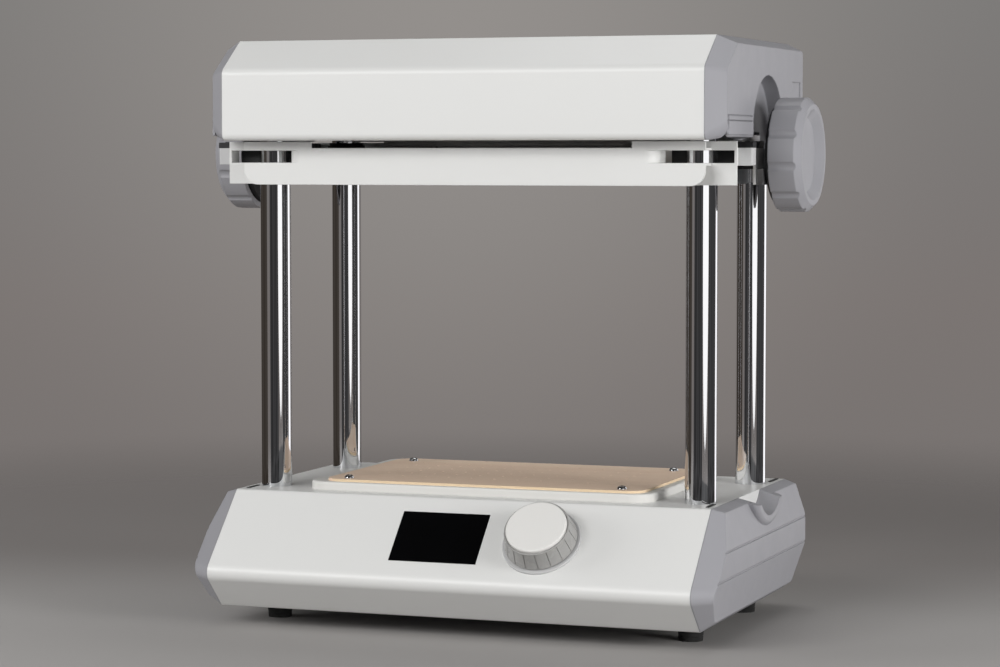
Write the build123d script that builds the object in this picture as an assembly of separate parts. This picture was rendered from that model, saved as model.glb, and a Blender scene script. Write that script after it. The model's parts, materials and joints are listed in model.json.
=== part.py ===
from build123d import *
import math
import os

# Desktop vacuum former. +X right, +Y back, +Z up, millimetres.
# Origin: middle of the footprint, on the surface that the feet stand on.

# ---- driving dimensions -------------------------------------------------------------
COVER_HALF_WIDTH = 200.5      # folded covers of base and head, seam to middle
SHEET = 1.5                   # thickness of the folded covers and the pan
TRAY_SHEET = 2.0              # thickness of the clamp carriage's sheet
CAP_WALL = 2.5                # wall of the moulded end caps
FIT = 0.05                    # radial running and locating clearance
SLIP = 0.1                    # clearance of one shell inside another
POSTS_BACK = 19.5             # posts' middle line behind the middle of the footprint
POST_INSET = 19.0             # posts inside the covers' ends
POST_X = COVER_HALF_WIDTH - POST_INSET
APRON_HALF_DEPTH = 108.0      # carriage's front and back aprons, from the posts' middle line
POST_TO_APRON = 34.0
POST_Y = APRON_HALF_DEPTH - POST_TO_APRON   # half the posts' spacing front to back
POST_RADIUS = 12.5

BASE_TOP = 107.6
BASE_BOTTOM = 16.2
BASE_CREASE = 46.3            # height of the front crease
BASE_LANDING_FRONT = 3.0      # base's flat top beyond the lowered carriage's aprons
BASE_LANDING_BACK = 8.0
TOP_FRONT = APRON_HALF_DEPTH + BASE_LANDING_FRONT
TOP_BACK = APRON_HALF_DEPTH + BASE_LANDING_BACK
SLOPE_REACH = 61.0            # front crease ahead of the flat top
BACK_REACH = 17.0
BASE_FRONT = TOP_FRONT + SLOPE_REACH        # crease ahead of the posts' middle line
BASE_BACK = TOP_BACK + BACK_REACH
BOTTOM_FRONT = BASE_FRONT - 31.4
BOTTOM_BACK = BASE_BACK - 35.0
BACK_FLAT_LOW = 51.6          # vertical strip of the base's back
BACK_FLAT_HIGH = 64.0
BASE_CAP_DEPTH = 17.5         # base end cap beyond the cover's end
BASE_CAP_X = COVER_HALF_WIDTH + BASE_CAP_DEPTH

HEAD_BOTTOM = 390.8
HEAD_HEIGHT = 80.7
HEAD_SLOPE_DROP = 25.0        # front crease below the head's top
HEAD_TOP = HEAD_BOTTOM + HEAD_HEIGHT
HEAD_CREASE = HEAD_TOP - HEAD_SLOPE_DROP
HEAD_PAST_FRONT = 27.4        # head beyond the carriage's aprons
HEAD_PAST_BACK = 15.5
HEAD_FRONT = APRON_HALF_DEPTH + HEAD_PAST_FRONT
HEAD_TOP_FRONT = HEAD_FRONT - 34.8
HEAD_BACK = APRON_HALF_DEPTH + HEAD_PAST_BACK
HEAD_BACK_CHAMFER = 9.5
HEAD_CAP_DEPTH = 14.5
HEAD_CAP_X = COVER_HALF_WIDTH + HEAD_CAP_DEPTH
HEAD_FLANGE = 16.0            # inward flange along the head's lower edges

BLOCK_HALF_WIDTH = 15.0       # the bars that hold the posts' ends
BLOCK_PAST_POST = 18.0        # bars beyond the posts' axes, front and back
BLOCK_HALF_LENGTH = POST_Y + BLOCK_PAST_POST
BASE_BLOCK_HEIGHT = 40.0
BLOCK_FLOOR = 5.0             # metal left under (or over) a post's end
HEAD_BLOCK_HEIGHT = 32.0
HEAD_BLOCK_COVER = 34.5       # head's bars below its top, with the reflector and mat between
HEAD_BLOCK_TOP = HEAD_TOP - HEAD_BLOCK_COVER
HEAD_BLOCK_LOW = HEAD_BLOCK_TOP - HEAD_BLOCK_HEIGHT

FOOT_RADIUS = 11.0
FOOT_TAPER = 1.5
FOOT_INSET = 5.5              # feet inside the posts
FOOT_X = POST_X - FOOT_INSET
FOOT_AHEAD = 7.0              # front feet ahead of the front posts
FOOT_FRONT = -POST_Y - FOOT_AHEAD
FOOT_REAR = POST_Y
FOOT_WELL_RADIUS = 5.0        # hole in a foot for its screw's head
FOOT_WELL_DEPTH = 9.0
FOOT_RIBS = (3.5, 7.0, 10.5)  # heights of the grooves around a foot
FOOT_SCREW_RADIUS = 2.5
GRUB_RADIUS = 3.0             # set screws that hold the posts in the base's blocks
GRUB_Z = 42.0
POST_BOLT_LENGTH = 24.0       # bolts down into the posts' top ends

PLINTH_TO_POST = 35.5         # plinth's side to the posts' axes
PLINTH_HALF_WIDTH = POST_X - PLINTH_TO_POST
PLINTH_TO_APRON = 12.0
PLINTH_HALF_DEPTH = APRON_HALF_DEPTH - PLINTH_TO_APRON
PLINTH_HEIGHT = 7.0
PLINTH_CORNER = 17.0
BOARD_SHIFT = 3.0             # the board lies a little to the right of the middle
BOARD_INSET = 10.5            # board inside the plinth's sides
BOARD_HALF_WIDTH = PLINTH_HALF_WIDTH - BOARD_INSET
BOARD_CORNER = 14.0
BOARD_FRONT = PLINTH_HALF_DEPTH - 5.0
BOARD_BACK = PLINTH_HALF_DEPTH - 16.0
BOARD_THICKNESS = 2.0
BOARD_SCREW_INSET = 19.0
BOARD_SCREW_X = BOARD_HALF_WIDTH - BOARD_SCREW_INSET
BOARD_SCREW_FRONT = BOARD_FRONT - 9.0
BOARD_SCREW_BACK = BOARD_BACK - 20.0
BOARD_SCREW_RADIUS = 2.0
BOARD_SCREW_HEAD = 3.9
BOARD_SCREW_RISE = 2.9
AIR_HOLE_RADIUS = 1.0
AIR_HOLE_PITCH = 20.0
AIR_HOLE_COLUMNS = 11
AIR_HOLE_ROWS = 6
AIR_BOX_HALF_WIDTH = BOARD_SCREW_X - 6.5   # shallow chamber under the board
AIR_BOX_FRONT = BOARD_SCREW_FRONT - 24.0
AIR_BOX_BACK = BOARD_SCREW_BACK + 1.0
AIR_BOX_DEPTH = 4.0
AIR_BOX_RIBS = (-55.0, 0.0, 55.0)
AIR_BOX_PASSAGE = 20.0        # gap in the ribs around the spout

CARRIAGE_DROP = 35.3
CARRIAGE_BOTTOM = HEAD_BOTTOM - CARRIAGE_DROP   # apron's lower edge, at the top of its travel
LANDING_GAP = 0.5             # apron above the base when the carriage is down
LEDGE_LOW = 17.6              # top of the lower plate above the apron's edge
LEDGE_HIGH = 29.4             # top of the upper plate, where the sheet lies
STRIP_HEIGHT = 34.5           # top of the apron's raised ends
APRON_INSET = 6.5             # apron's ends inside the covers' ends
APRON_HALF_WIDTH = COVER_HALF_WIDTH - APRON_INSET
APRON_TO_POST = 36.0
APRON_MIDDLE = POST_X - APRON_TO_POST       # half width of the apron's full-height part
APRON_BEND = 10.0
APRON_CORNER = 12.0
PLATE_PAST_POST = 18.0
PLATE_SIDE_DEPTH = POST_Y + PLATE_PAST_POST # depth of the plates' ends, beside the apron
PLATE_OVERHANG = 14.0         # plates' ends beyond the covers' ends
END_FLANGE_X = COVER_HALF_WIDTH + PLATE_OVERHANG
END_WALL_HALF = 37.0          # half width of the upright at each end, around the knob's shaft
RETURN_INSET = 9.5
RETURN_X = POST_X - RETURN_INSET            # inner end of the upright strips along the plates' ends
CORNER_POST_WIDTH = 14.5
CORNER_POST_DEPTH = PLATE_SIDE_DEPTH - CORNER_POST_WIDTH   # inner edge of the uprights at the corners
BED_CLEARANCE = 4.0           # carriage's lower opening around the plinth
APERTURE_X = PLINTH_HALF_WIDTH + BED_CLEARANCE
APERTURE_Y = PLINTH_HALF_DEPTH + BED_CLEARANCE
CRANK_WELL_INSET = 4.5
CRANK_WELL_X = COVER_HALF_WIDTH - CRANK_WELL_INSET
CRANK_WELL_HALF = 24.0
KNOB_AXIS_ABOVE = 24.1        # knob axis above the apron's edge

RING_TO_POST = 41.5           # clamp ring's side to the posts' axes
RING_HALF_WIDTH = POST_X - RING_TO_POST
RING_TO_APRON = 12.0
RING_HALF_DEPTH = APRON_HALF_DEPTH - RING_TO_APRON
RING_BAR = 17.0
SLOT_INSET = 5.0
SLOT_HALF_WIDTH = RING_HALF_WIDTH - SLOT_INSET   # sheet slot above the apron
LEDGE_LIP = 1.0               # sheet ledge's opening inside the ring's opening
LEDGE_FRONT_LIP = 3.0
LEDGE_APERTURE_X = RING_HALF_WIDTH - RING_BAR - LEDGE_LIP
LEDGE_APERTURE_Y = RING_HALF_DEPTH - RING_BAR - LEDGE_FRONT_LIP
RING_THICKNESS = 3.0
CLAMP_LIFT = 6.5
SHEET_GAP = 0.6               # room left for the plastic sheet when clamped
ARM_HALF_WIDTH = 13.0
YOKE_INSET = 14.3             # yokes and crank webs inside the plates' ends
YOKE_X = END_FLANGE_X - YOKE_INSET
YOKE_THICKNESS = 4.2
PIN_RADIUS = 3.0
PIN_PLAY = 0.4
WEB_RADIUS = 11.0
WEB_GAP = 0.6                 # between a yoke and its crank web
WEB_X = YOKE_X + YOKE_THICKNESS + WEB_GAP
WEB_THICKNESS = 4.6
SHAFT_RADIUS = 6.0

BRACKET_THICKNESS = 7.5
BRACKET_X = END_FLANGE_X + BRACKET_THICKNESS
BRACKET_HALF_DEPTH = 37.0
BRACKET_HEIGHT = 12.5
STOP_THICKNESS = 11.5
STOP_X = END_FLANGE_X + STOP_THICKNESS      # outer face of the blocks at the carriage's corners
STOP_INSET = 4.0              # corner blocks inside the plates' front and back edges
STOP_BACK = PLATE_SIDE_DEPTH - STOP_INSET
STOP_HEIGHT = 13.3
KEEPER_HEIGHT = 4.6
KEEPER_OVERLAP = 3.0          # keeper plates over the carriage's own sheet
BOSS_RADIUS = 14.0
KNOB_RADIUS = 45.2
KNOB_DEPTH = 23.4             # from the disc behind the knob to the knob's face
KNOB_BEVEL = 5.2              # step down from the grip to the face's ring
DISC_GAP = 0.5                # between a bracket and the dark disc behind its knob
DISC_THICKNESS = 6.1
DISC_RADIUS = 40.0
DISC_X = BRACKET_X + DISC_GAP
KNOB_BACK_X = DISC_X + DISC_THICKNESS
KNOB_FACE_X = KNOB_BACK_X + KNOB_DEPTH
GRIP_LAP = 2.6                # grip's reach back over the disc's edge
GRIP_PLAY = 0.6
DISH_RIM = 4.0                # ring around a knob's dished face
DISH_RADIUS = KNOB_RADIUS - KNOB_BEVEL - DISH_RIM
DISH_FLOOR_RADIUS = 29.0
DISH_DEPTH = 6.0
DISH_WALL = 6.0               # knob's wall behind the dish
DISC_SEAT = 3.0               # width of the shoulder that the disc bears on
KNOB_HUB_RADIUS = 12.0
KNOB_HUB_LENGTH = 16.0
KNOB_LOBES = 11
LOBE_TURN = 20.0              # first groove of a knob's grip, from straight down
LOBE_GROOVE_RADIUS = 5.0
LOBE_GROOVE_DEPTH = 1.6
ARCH_HALF_WIDTH = 47.0        # relief for the knob's hub in a head end cap
ARCH_RISE = 16.0              # arch centre above the knob axis at rest
ARCH_WALL = 2.5               # wall that closes the relief towards the machine
ARCH_SLOT_HALF = 16.0         # slot in it for the clamp ring's arm
ARCH_SLOT_TOP = HEAD_BOTTOM + 6.7
PAD_LOW = HEAD_BOTTOM + 4.0   # raised pad at the lower front of a head end cap
PAD_STEP = PAD_LOW + 10.4
PAD_TOP = PAD_STEP + 4.0
PAD_LINE = 0.8                # grooves above the pad's two steps
PAD_RISE = 1.2
TAB_FRONT = 75.0              # shallow square recess at the back of a head end cap
TAB_SIZE = 27.0
TAB_LOW = HEAD_BOTTOM + 34.2
TAB_HIGH = TAB_LOW + 14.0
TAB_DEPTH = 1.0
SADDLE_RADIUS = 49.5          # collar around the relief for the knob in a base end cap
SADDLE_INNER = 41.0
SADDLE_PROUD = 0.8            # collar beyond the cap's outermost face
SADDLE_END_X = BASE_CAP_X + SADDLE_PROUD
SADDLE_ROUND = 4.5

SCREEN_X = -12.7
PANEL_ROW = 39.6              # screen and dial centres below the top edge, along the slope
SCREEN_WIDTH = 73.0
SCREEN_HEIGHT = 49.0
DIAL_X = 72.5
DIAL_SEAT_RADIUS = 31.5
DIAL_SEAT_HEIGHT = 1.8
DIAL_RING_RADIUS = 29.0
DIAL_RING_TAPER = 3.0
DIAL_RING_TOP = 18.0
DIAL_CAP_RADIUS = 24.3
DIAL_CAP_SEAT = 1.0           # depth of the cap's seat in the skirt
DIAL_CAP_TOP = 20.4
DIAL_LINES = 18               # fine lines down the skirt
DIAL_PRESS = 0.8
DIAL_GAP = 1.2                # ring above its seat

POCKET_INSET = 50.5           # service pocket inside the cover's ends
POCKET_HALF_WIDTH = COVER_HALF_WIDTH - POCKET_INSET
POCKET_LOW = 30.0
POCKET_HIGH = 98.0
POCKET_DEPTH = 28.0

# vacuum system, inside the base
SPOUT_RADIUS = 9.0
SPOUT_BORE = 7.0
SPOUT_FLANGE_RADIUS = 26.0
HOSE_RADIUS = 12.0
HOSE_BEND = 22.0
MOTOR_Z = 62.0
MOTOR_RADIUS = 38.0
MOTOR_FRONT = -52.0
MOTOR_LENGTH = 90.0
MOTOR_SKIN = 2.0              # wall of the motor's can, and its end plates
MOTOR_END = 3.0
MOTOR_NOZZLE = 30.0           # inlet pipe beyond the can
MOTOR_BAFFLE = 28.0           # plate behind the impeller, from the can's front
MOTOR_BAFFLE_SHEET = 4.0
MOTOR_BEARING_RADIUS = 9.0
MOTOR_WINDOW = (20.0, 12.0)   # outlet windows around the can: length and width
MOTOR_WINDOWS_AT = 66.0       # their middle, from the can's front
MOTOR_PORT = (8.0, 9.0)       # ports through the baffle
ROTOR_SHAFT = 4.0
ROTOR_CORE_RADIUS = 20.0
ROTOR_CORE_NEAR = 34.0        # motor's core behind the impeller
ROTOR_CORE_FAR = 60.0
IMPELLER_RADIUS = 32.0
IMPELLER_EYE = 14.0
CRADLE_INSET = 12.0           # cradle inside the motor's ends
CRADLE_HALF_WIDTH = 30.0
CRADLE_DROP = 18.0            # cradle's top below the motor's axis
VENTS = 7                     # slots in the pan, under the motor
VENT_PITCH = 12.0
VENT_WIDTH = 5.0
VENT_HALF_LENGTH = 40.0

# dial encoder
BUSH_RADIUS = 4.5
ENCODER_SHAFT = 3.0

# screws and bosses that hold the end caps; lip of the caps inside the covers
POST_BOLT_RADIUS = 4.0
CAP_LIP = 3.9                 # caps' lips inside the covers
CAP_LIP_X = COVER_HALF_WIDTH - CAP_LIP
LIP_WALL = 2.0
BASE_BOSS_Z = 44.0
BASE_BOSS_Y = 64.0
HEAD_BOSS_Z = HEAD_BLOCK_LOW + HEAD_BLOCK_HEIGHT / 2
HEAD_BOSS_Y = 72.0
BOSS_PIN_RADIUS = 6.0         # pegs of the end caps that meet the blocks
CAP_GROOVE = 0.8              # depth of the two grooves along a base end cap
CAP_GROOVE_HALF = 0.7
CAP_ZONE_UPPER = 31.0         # the base cap's creases below its top
CAP_ZONE_LOWER = 52.0
CLIP_INSET = 6.9              # clips that hold the base end caps, in the cover's top
CLIP_X = COVER_HALF_WIDTH - CLIP_INSET
CLIP_WIDTH = 2.6
CLIP_RISE = 0.5
CLIP_SPANS = ((-102.0, -81.5), (86.0, 110.0))
CLIP_STEM = 1.2
CLIP_DEPTH = 7.0

# boards and supply beside the right-hand block
ELECTRICS_GAP = 16.5          # to the block's inner side
MAIN_BOARD_WIDTH = 120.0
MAIN_BOARD_DEPTH = 65.0
MAIN_BOARD_FRONT = TOP_FRONT - 1.0          # edges ahead of the posts' middle line
MAIN_BOARD_BACK = MAIN_BOARD_FRONT - MAIN_BOARD_DEPTH
RELAY_PLACES = (70.0, 92.0)   # relays from the board's left edge
MAIN_BOARD_THICKNESS = 1.6
MAIN_BOARD_LIFT = 10.0
MAIN_BOARD_HOLE_INSET = 5.0
SUPPLY_WIDTH = 110.0
SUPPLY_DEPTH = 52.0
SUPPLY_BACK = POST_Y
SUPPLY_FRONT = SUPPLY_BACK - SUPPLY_DEPTH
SUPPLY_HEIGHT = 36.0
SUPPLY_VENT_PITCH = 8.0
SUPPLY_VENT_WIDTH = 3.0

# service panel at the back
INLET_INSET = 50.0            # inlet and fan inside the pocket's ends
FAN_INSET = 45.0
SWITCH_TO_INLET = 40.0
INLET_X = POCKET_HALF_WIDTH - INLET_INSET
SWITCH_X = INLET_X - SWITCH_TO_INLET
FAN_X = FAN_INSET - POCKET_HALF_WIDTH
SERVICE_Z = 64.0
FAN_HALF = 25.0
FAN_DEPTH = 15.0
FAN_DUCT_RADIUS = FAN_HALF - 2.0
FAN_HUB_RADIUS = 10.0
FAN_BLADE_GAP = 1.0           # between the blades' tips and the duct
FAN_BLADE_SINK = 1.0          # blades' roots inside the hub
FAN_BLADES = 7
ROCKER_TILT = 10.0            # half the angle that the switch's rocker turns through

# heater, inside the head
REFLECTOR_LOW = HEAD_BOTTOM + 6.2
REFLECTOR_TO_POST = 31.5
REFLECTOR_X = POST_X - REFLECTOR_TO_POST
REFLECTOR_TO_APRON = 8.0      # reflector's sides inside the carriage's aprons
REFLECTOR_Y = APRON_HALF_DEPTH - REFLECTOR_TO_APRON
CATCH_BAR_OVERHANG = 7.0      # bar with magnets beyond the reflector's sides
CATCH_WEB_RISE = 14.0         # top of the bar's web above the reflector's lower edge
MAGNET_INSET = 40.0
REFLECTOR_SHEET = 1.2
HEATER_RISE = 18.0            # rods' axes above the reflector's lower edge
HEATER_Z = REFLECTOR_LOW + HEATER_RISE
HEATER_RADIUS = 5.0
HEATER_RODS = 7
HEATER_PITCH = 27.0
HOLDER_THICKNESS = 8.0
HOLDER_INSET = 8.0            # holders' ends inside the reflector's sides
HOLDER_DROP = 9.0             # holders' lower edge below the rods' axes
MAT_INSET = 6.0
MAT_THICKNESS = 12.0
MAT_CORNER = 8.0

# plastic guides on the posts
BUSHING_SPIGOT = 14.5
BUSHING_FLANGE = 15.9
BUSHING_FLANGE_HEIGHT = 2.5
BUSHING_TAIL = 0.8            # spigot of a lower bush below its flange
GUIDE_REACH = 24.5            # guide blocks between the carriage's plates, inside the posts' axes
GUIDE_GAP = 0.5               # between a guide block and the plates' corner uprights
GUIDE_INNER_X = POST_X - GUIDE_REACH
GUIDE_OUTER_X = END_FLANGE_X - TRAY_SHEET - GUIDE_GAP
GUIDE_LENGTH = 14.0
GUIDE_NEAR = POST_Y - GUIDE_LENGTH

P = POSTS_BACK
PAST_ALL = 1.5 * COVER_HALF_WIDTH           # reach of cutting shapes that run past the whole machine
SIDES = (("left", -1), ("right", 1))
RANKS = (("front", -1), ("rear", 1))
PAN_TOP = BASE_BOTTOM + 2 * SHEET
TRAVEL = CARRIAGE_BOTTOM - BASE_TOP - LANDING_GAP
AXIS_Z = CARRIAGE_BOTTOM + KNOB_AXIS_ABOVE
LOW_PLATE = CARRIAGE_BOTTOM + LEDGE_LOW
TOP_PLATE = CARRIAGE_BOTTOM + LEDGE_HIGH
STRIP_TOP = CARRIAGE_BOTTOM + STRIP_HEIGHT
RING_LOW = TOP_PLATE + SHEET_GAP + CLAMP_LIFT
PIN_THROW = CLAMP_LIFT / (2 * math.sin(math.radians(45)))
PIN_RISE = CLAMP_LIFT / 2
BOARD_LOW = BASE_TOP + PLINTH_HEIGHT
BOARD_TOP = BOARD_LOW + BOARD_THICKNESS
BLOCK_INNER = POST_X - BLOCK_HALF_WIDTH
BLOCK_OUTER = POST_X + BLOCK_HALF_WIDTH
POST_FOOT = PAN_TOP + BLOCK_FLOOR
POST_TOP = HEAD_BLOCK_TOP - BLOCK_FLOOR


# ---- helpers --------------------------------------------------------------------------
def slab(x0, x1, y0, y1, z0, z1):
    """A rectangular block between two corners."""
    return Pos((x0 + x1) / 2, (y0 + y1) / 2, (z0 + z1) / 2) * Box(abs(x1 - x0), abs(y1 - y0), abs(z1 - z0))


def side_slab(side, x0, x1, y0, y1, z0, z1):
    """A block given for the right side, mirrored to the left for side -1."""
    return slab(side * x0, side * x1, y0, y1, z0, z1)


def rod_z(x, y, z0, z1, radius):
    return Pos(x, y, (z0 + z1) / 2) * Cylinder(radius, z1 - z0)


def rod_x(x0, x1, y, z, radius):
    return Pos((x0 + x1) / 2, y, z) * Rot(0, 90, 0) * Cylinder(radius, abs(x1 - x0))


def rod_y(x, y0, y1, z, radius):
    return Pos(x, (y0 + y1) / 2, z) * Rot(90, 0, 0) * Cylinder(radius, y1 - y0)


def outline_face(points, radii):
    """A flat shape from corner points, each with its own rounding."""
    return make_face(FilletPolyline(*points, radius=radii, close=True))


def across(face, x0, x1):
    """A front-to-back outline (y, z) run across from x0 to x1."""
    return extrude(Plane.YZ.offset(min(x0, x1)) * face, amount=abs(x1 - x0))


def front_to_back(face):
    """A front view (x, z) run through the whole machine."""
    return extrude(Plane.XZ.offset(-PAST_ALL) * face, amount=2 * PAST_ALL)


def inset_corners(points, insets):
    """Corners of a closed outline after each edge moves inwards by its own inset."""
    count = len(points)
    turn = sum(points[i][0] * points[(i + 1) % count][1] - points[(i + 1) % count][0] * points[i][1]
               for i in range(count))
    inward = 1 if turn > 0 else -1
    lines = []
    for i in range(count):
        (ya, za), (yb, zb) = points[i], points[(i + 1) % count]
        length = math.hypot(yb - ya, zb - za)
        normal = (-(zb - za) / length * inward, (yb - ya) / length * inward)
        lines.append((normal, normal[0] * ya + normal[1] * za + insets[i]))
    corners = []
    for i in range(count):
        (n1, c1), (n2, c2) = lines[i - 1], lines[i]
        det = n1[0] * n2[1] - n1[1] * n2[0]
        corners.append(((c1 * n2[1] - c2 * n1[1]) / det, (n1[0] * c2 - n2[0] * c1) / det))
    return corners


def mirrored(part, side):
    """The part as modelled for the right side, or its mirror image for the left."""
    return part if side > 0 else mirror(part, about=Plane.YZ)


def save(name, shape):
    pieces = shape if isinstance(shape, list) else [shape]
    solids = [solid for piece in pieces for solid in piece.solids()]
    if not solids:
        raise ValueError("empty node " + name)
    for number, solid in enumerate(solids):
        solid.label = name if len(solids) == 1 else f"{name}_{number + 1}"
    export_step(solids[0] if len(solids) == 1 else Compound(children=list(solids)), f"parts/{name}.step")


# ---- outlines -------------------------------------------------------------------------
BASE_OUTLINE = [
    (P - TOP_FRONT, BASE_TOP), (P - BASE_FRONT, BASE_CREASE), (P - BOTTOM_FRONT, BASE_BOTTOM),
    (P + BOTTOM_BACK, BASE_BOTTOM), (P + BASE_BACK, BACK_FLAT_LOW), (P + BASE_BACK, BACK_FLAT_HIGH),
    (P + TOP_BACK, BASE_TOP),
]
BASE_BENDS = [4, 9, 5, 5, 4, 4, 4]
BASE_INSETS = [9, 9, 12, 14, 16.5, 9, 5]    # front slope, under slope, bottom, ..., top
BASE_CAP_BENDS = [3, 8, 4, 4, 3, 3, 3]

HEAD_OUTLINE = [
    (P - HEAD_FRONT, HEAD_BOTTOM), (P - HEAD_FRONT, HEAD_CREASE), (P - HEAD_TOP_FRONT, HEAD_TOP),
    (P + HEAD_BACK - HEAD_BACK_CHAMFER, HEAD_TOP), (P + HEAD_BACK, HEAD_TOP - HEAD_BACK_CHAMFER),
    (P + HEAD_BACK, HEAD_BOTTOM),
]
HEAD_BENDS = [5, 7, 3, 2.5, 2.5, 5]
HEAD_INSETS = [13.5, 10, 6.5, 9, 13.5, 2.5]  # front, slope, top, back chamfer, back, bottom
HEAD_CAP_BENDS = [13, 6, 3, 2, 2, 8]

BASE_FACE = outline_face(BASE_OUTLINE, BASE_BENDS)
HEAD_FACE = outline_face(HEAD_OUTLINE, HEAD_BENDS)
BASE_CAP_FACE = outline_face(inset_corners(BASE_OUTLINE, BASE_INSETS), BASE_CAP_BENDS)
HEAD_CAP_FACE = outline_face(inset_corners(HEAD_OUTLINE, HEAD_INSETS), HEAD_CAP_BENDS)

# Plane of the sloped front panel: x across, y up the slope, z out of the panel.
SLOPE_RUN = BASE_FRONT - TOP_FRONT
SLOPE_DROP = BASE_TOP - BASE_CREASE
SLOPE_LENGTH = math.hypot(SLOPE_RUN, SLOPE_DROP)
PANEL_NORMAL = (0, -SLOPE_DROP / SLOPE_LENGTH, SLOPE_RUN / SLOPE_LENGTH)
PANEL = Plane(origin=(0, P - TOP_FRONT, BASE_TOP), x_dir=(1, 0, 0), z_dir=PANEL_NORMAL)


def on_panel(x, row, height):
    """A place on the sloped panel: x across, row down the slope, height above the sheet."""
    return PANEL * Pos(x, -row, height)


# ---- base -----------------------------------------------------------------------------
def base_cover():
    shell = across(BASE_FACE, -COVER_HALF_WIDTH, COVER_HALF_WIDTH)
    shell -= across(offset(BASE_FACE, -SHEET), -COVER_HALF_WIDTH, COVER_HALF_WIDTH)
    shell -= slab(-COVER_HALF_WIDTH, COVER_HALF_WIDTH, P - BOTTOM_FRONT + 15, P + BOTTOM_BACK - 12,
                  BASE_BOTTOM - 1, BASE_BOTTOM + SHEET)
    for _, side in SIDES:
        shell += side_slab(side, COVER_HALF_WIDTH - SHEET, COVER_HALF_WIDTH, P - 42, P + 42, BASE_TOP - 24,
                           BASE_TOP - SHEET / 2)
        for _, rank in RANKS:
            shell -= rod_z(side * POST_X, P + rank * POST_Y, BASE_TOP - 5, BASE_TOP + 5, POST_RADIUS + 0.3)
    shell -= rod_z(0, P, BASE_TOP - 5, BASE_TOP + 5, SPOUT_RADIUS + FIT)
    window = Box(SCREEN_WIDTH + 2 * SLIP, SCREEN_HEIGHT + 2 * SLIP, 8)
    shell -= on_panel(SCREEN_X, PANEL_ROW, 0) * window
    shell -= on_panel(DIAL_X, PANEL_ROW, 0) * Cylinder(BUSH_RADIUS + FIT, 8)
    shell -= slab(-POCKET_HALF_WIDTH - SHEET - SLIP, POCKET_HALF_WIDTH + SHEET + SLIP,
                  P + BASE_BACK - POCKET_DEPTH, P + BASE_BACK + 1, POCKET_LOW - SHEET - SLIP,
                  POCKET_HIGH + SHEET + SLIP)
    for _, side in SIDES:
        for near, far in CLIP_SPANS:
            shell -= side_slab(side, CLIP_X - SLIP, CLIP_X + CLIP_WIDTH + SLIP, P + near - SLIP, P + far + SLIP,
                               BASE_TOP - SHEET - 1, BASE_TOP + 1)
    return shell


def cap_zones(shift):
    """Side view of the base cap's three zones: upper slope, middle flat and lower slope."""
    top, low = BASE_TOP + 4, BASE_BOTTOM - 4
    upper, lower = BASE_TOP - CAP_ZONE_UPPER, BASE_TOP - CAP_ZONE_LOWER
    reach = BASE_CAP_X - shift
    points = [(CAP_LIP_X - 1, top), (reach - 9, top), (reach, upper), (reach, lower), (reach - 8, low),
              (CAP_LIP_X - 1, low)]
    face = make_face(Polyline(*points, close=True))
    return front_to_back(face)


def cap_shell(seam_face, outer_face, x_out, zones=None, zones_inside=None):
    """Solid envelope and cavity of a moulded end cap, for the right side."""
    seam = Plane.YZ.offset(COVER_HALF_WIDTH) * seam_face
    outer = Plane.YZ.offset(x_out) * outer_face
    envelope = loft([seam, outer], ruled=True)
    seam_in = Plane.YZ.offset(COVER_HALF_WIDTH) * offset(seam_face, -CAP_WALL)
    outer_in = Plane.YZ.offset(x_out - CAP_WALL) * offset(outer_face, -CAP_WALL)
    cavity = loft([seam_in, outer_in], ruled=True)
    if zones is not None:
        envelope &= zones
        cavity &= zones_inside
    return envelope, cavity


def cap_lip(face):
    """The lip that plugs into the folded cover."""
    lip = across(offset(face, -SHEET - SLIP), CAP_LIP_X, COVER_HALF_WIDTH)
    return lip - across(offset(face, -SHEET - SLIP - LIP_WALL), CAP_LIP_X, COVER_HALF_WIDTH)


def saddle_collar():
    """Hollow ring around the relief for the knob, cut off along the cap's falling top."""
    low_axis = AXIS_Z - TRAVEL
    inner_end = SADDLE_END_X - CAP_WALL
    collar = rod_x(COVER_HALF_WIDTH, SADDLE_END_X, P, low_axis, SADDLE_RADIUS)
    collar = fillet(collar.edges().sort_by(Axis.X)[-1], SADDLE_ROUND)
    gap = rod_x(COVER_HALF_WIDTH - 1, inner_end - SADDLE_ROUND, P, low_axis, SADDLE_RADIUS - CAP_WALL)
    collar -= gap - rod_x(COVER_HALF_WIDTH - 1, inner_end, P, low_axis, SADDLE_INNER + CAP_WALL)
    fall = BASE_INSETS[-1] / (BASE_CAP_X - COVER_HALF_WIDTH)
    reach = SADDLE_END_X + 1
    points = [(COVER_HALF_WIDTH, 0), (COVER_HALF_WIDTH, BASE_TOP),
              (reach, BASE_TOP - fall * (reach - COVER_HALF_WIDTH)), (reach, 0)]
    return collar & front_to_back(make_face(Polyline(*points, close=True)))


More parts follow.
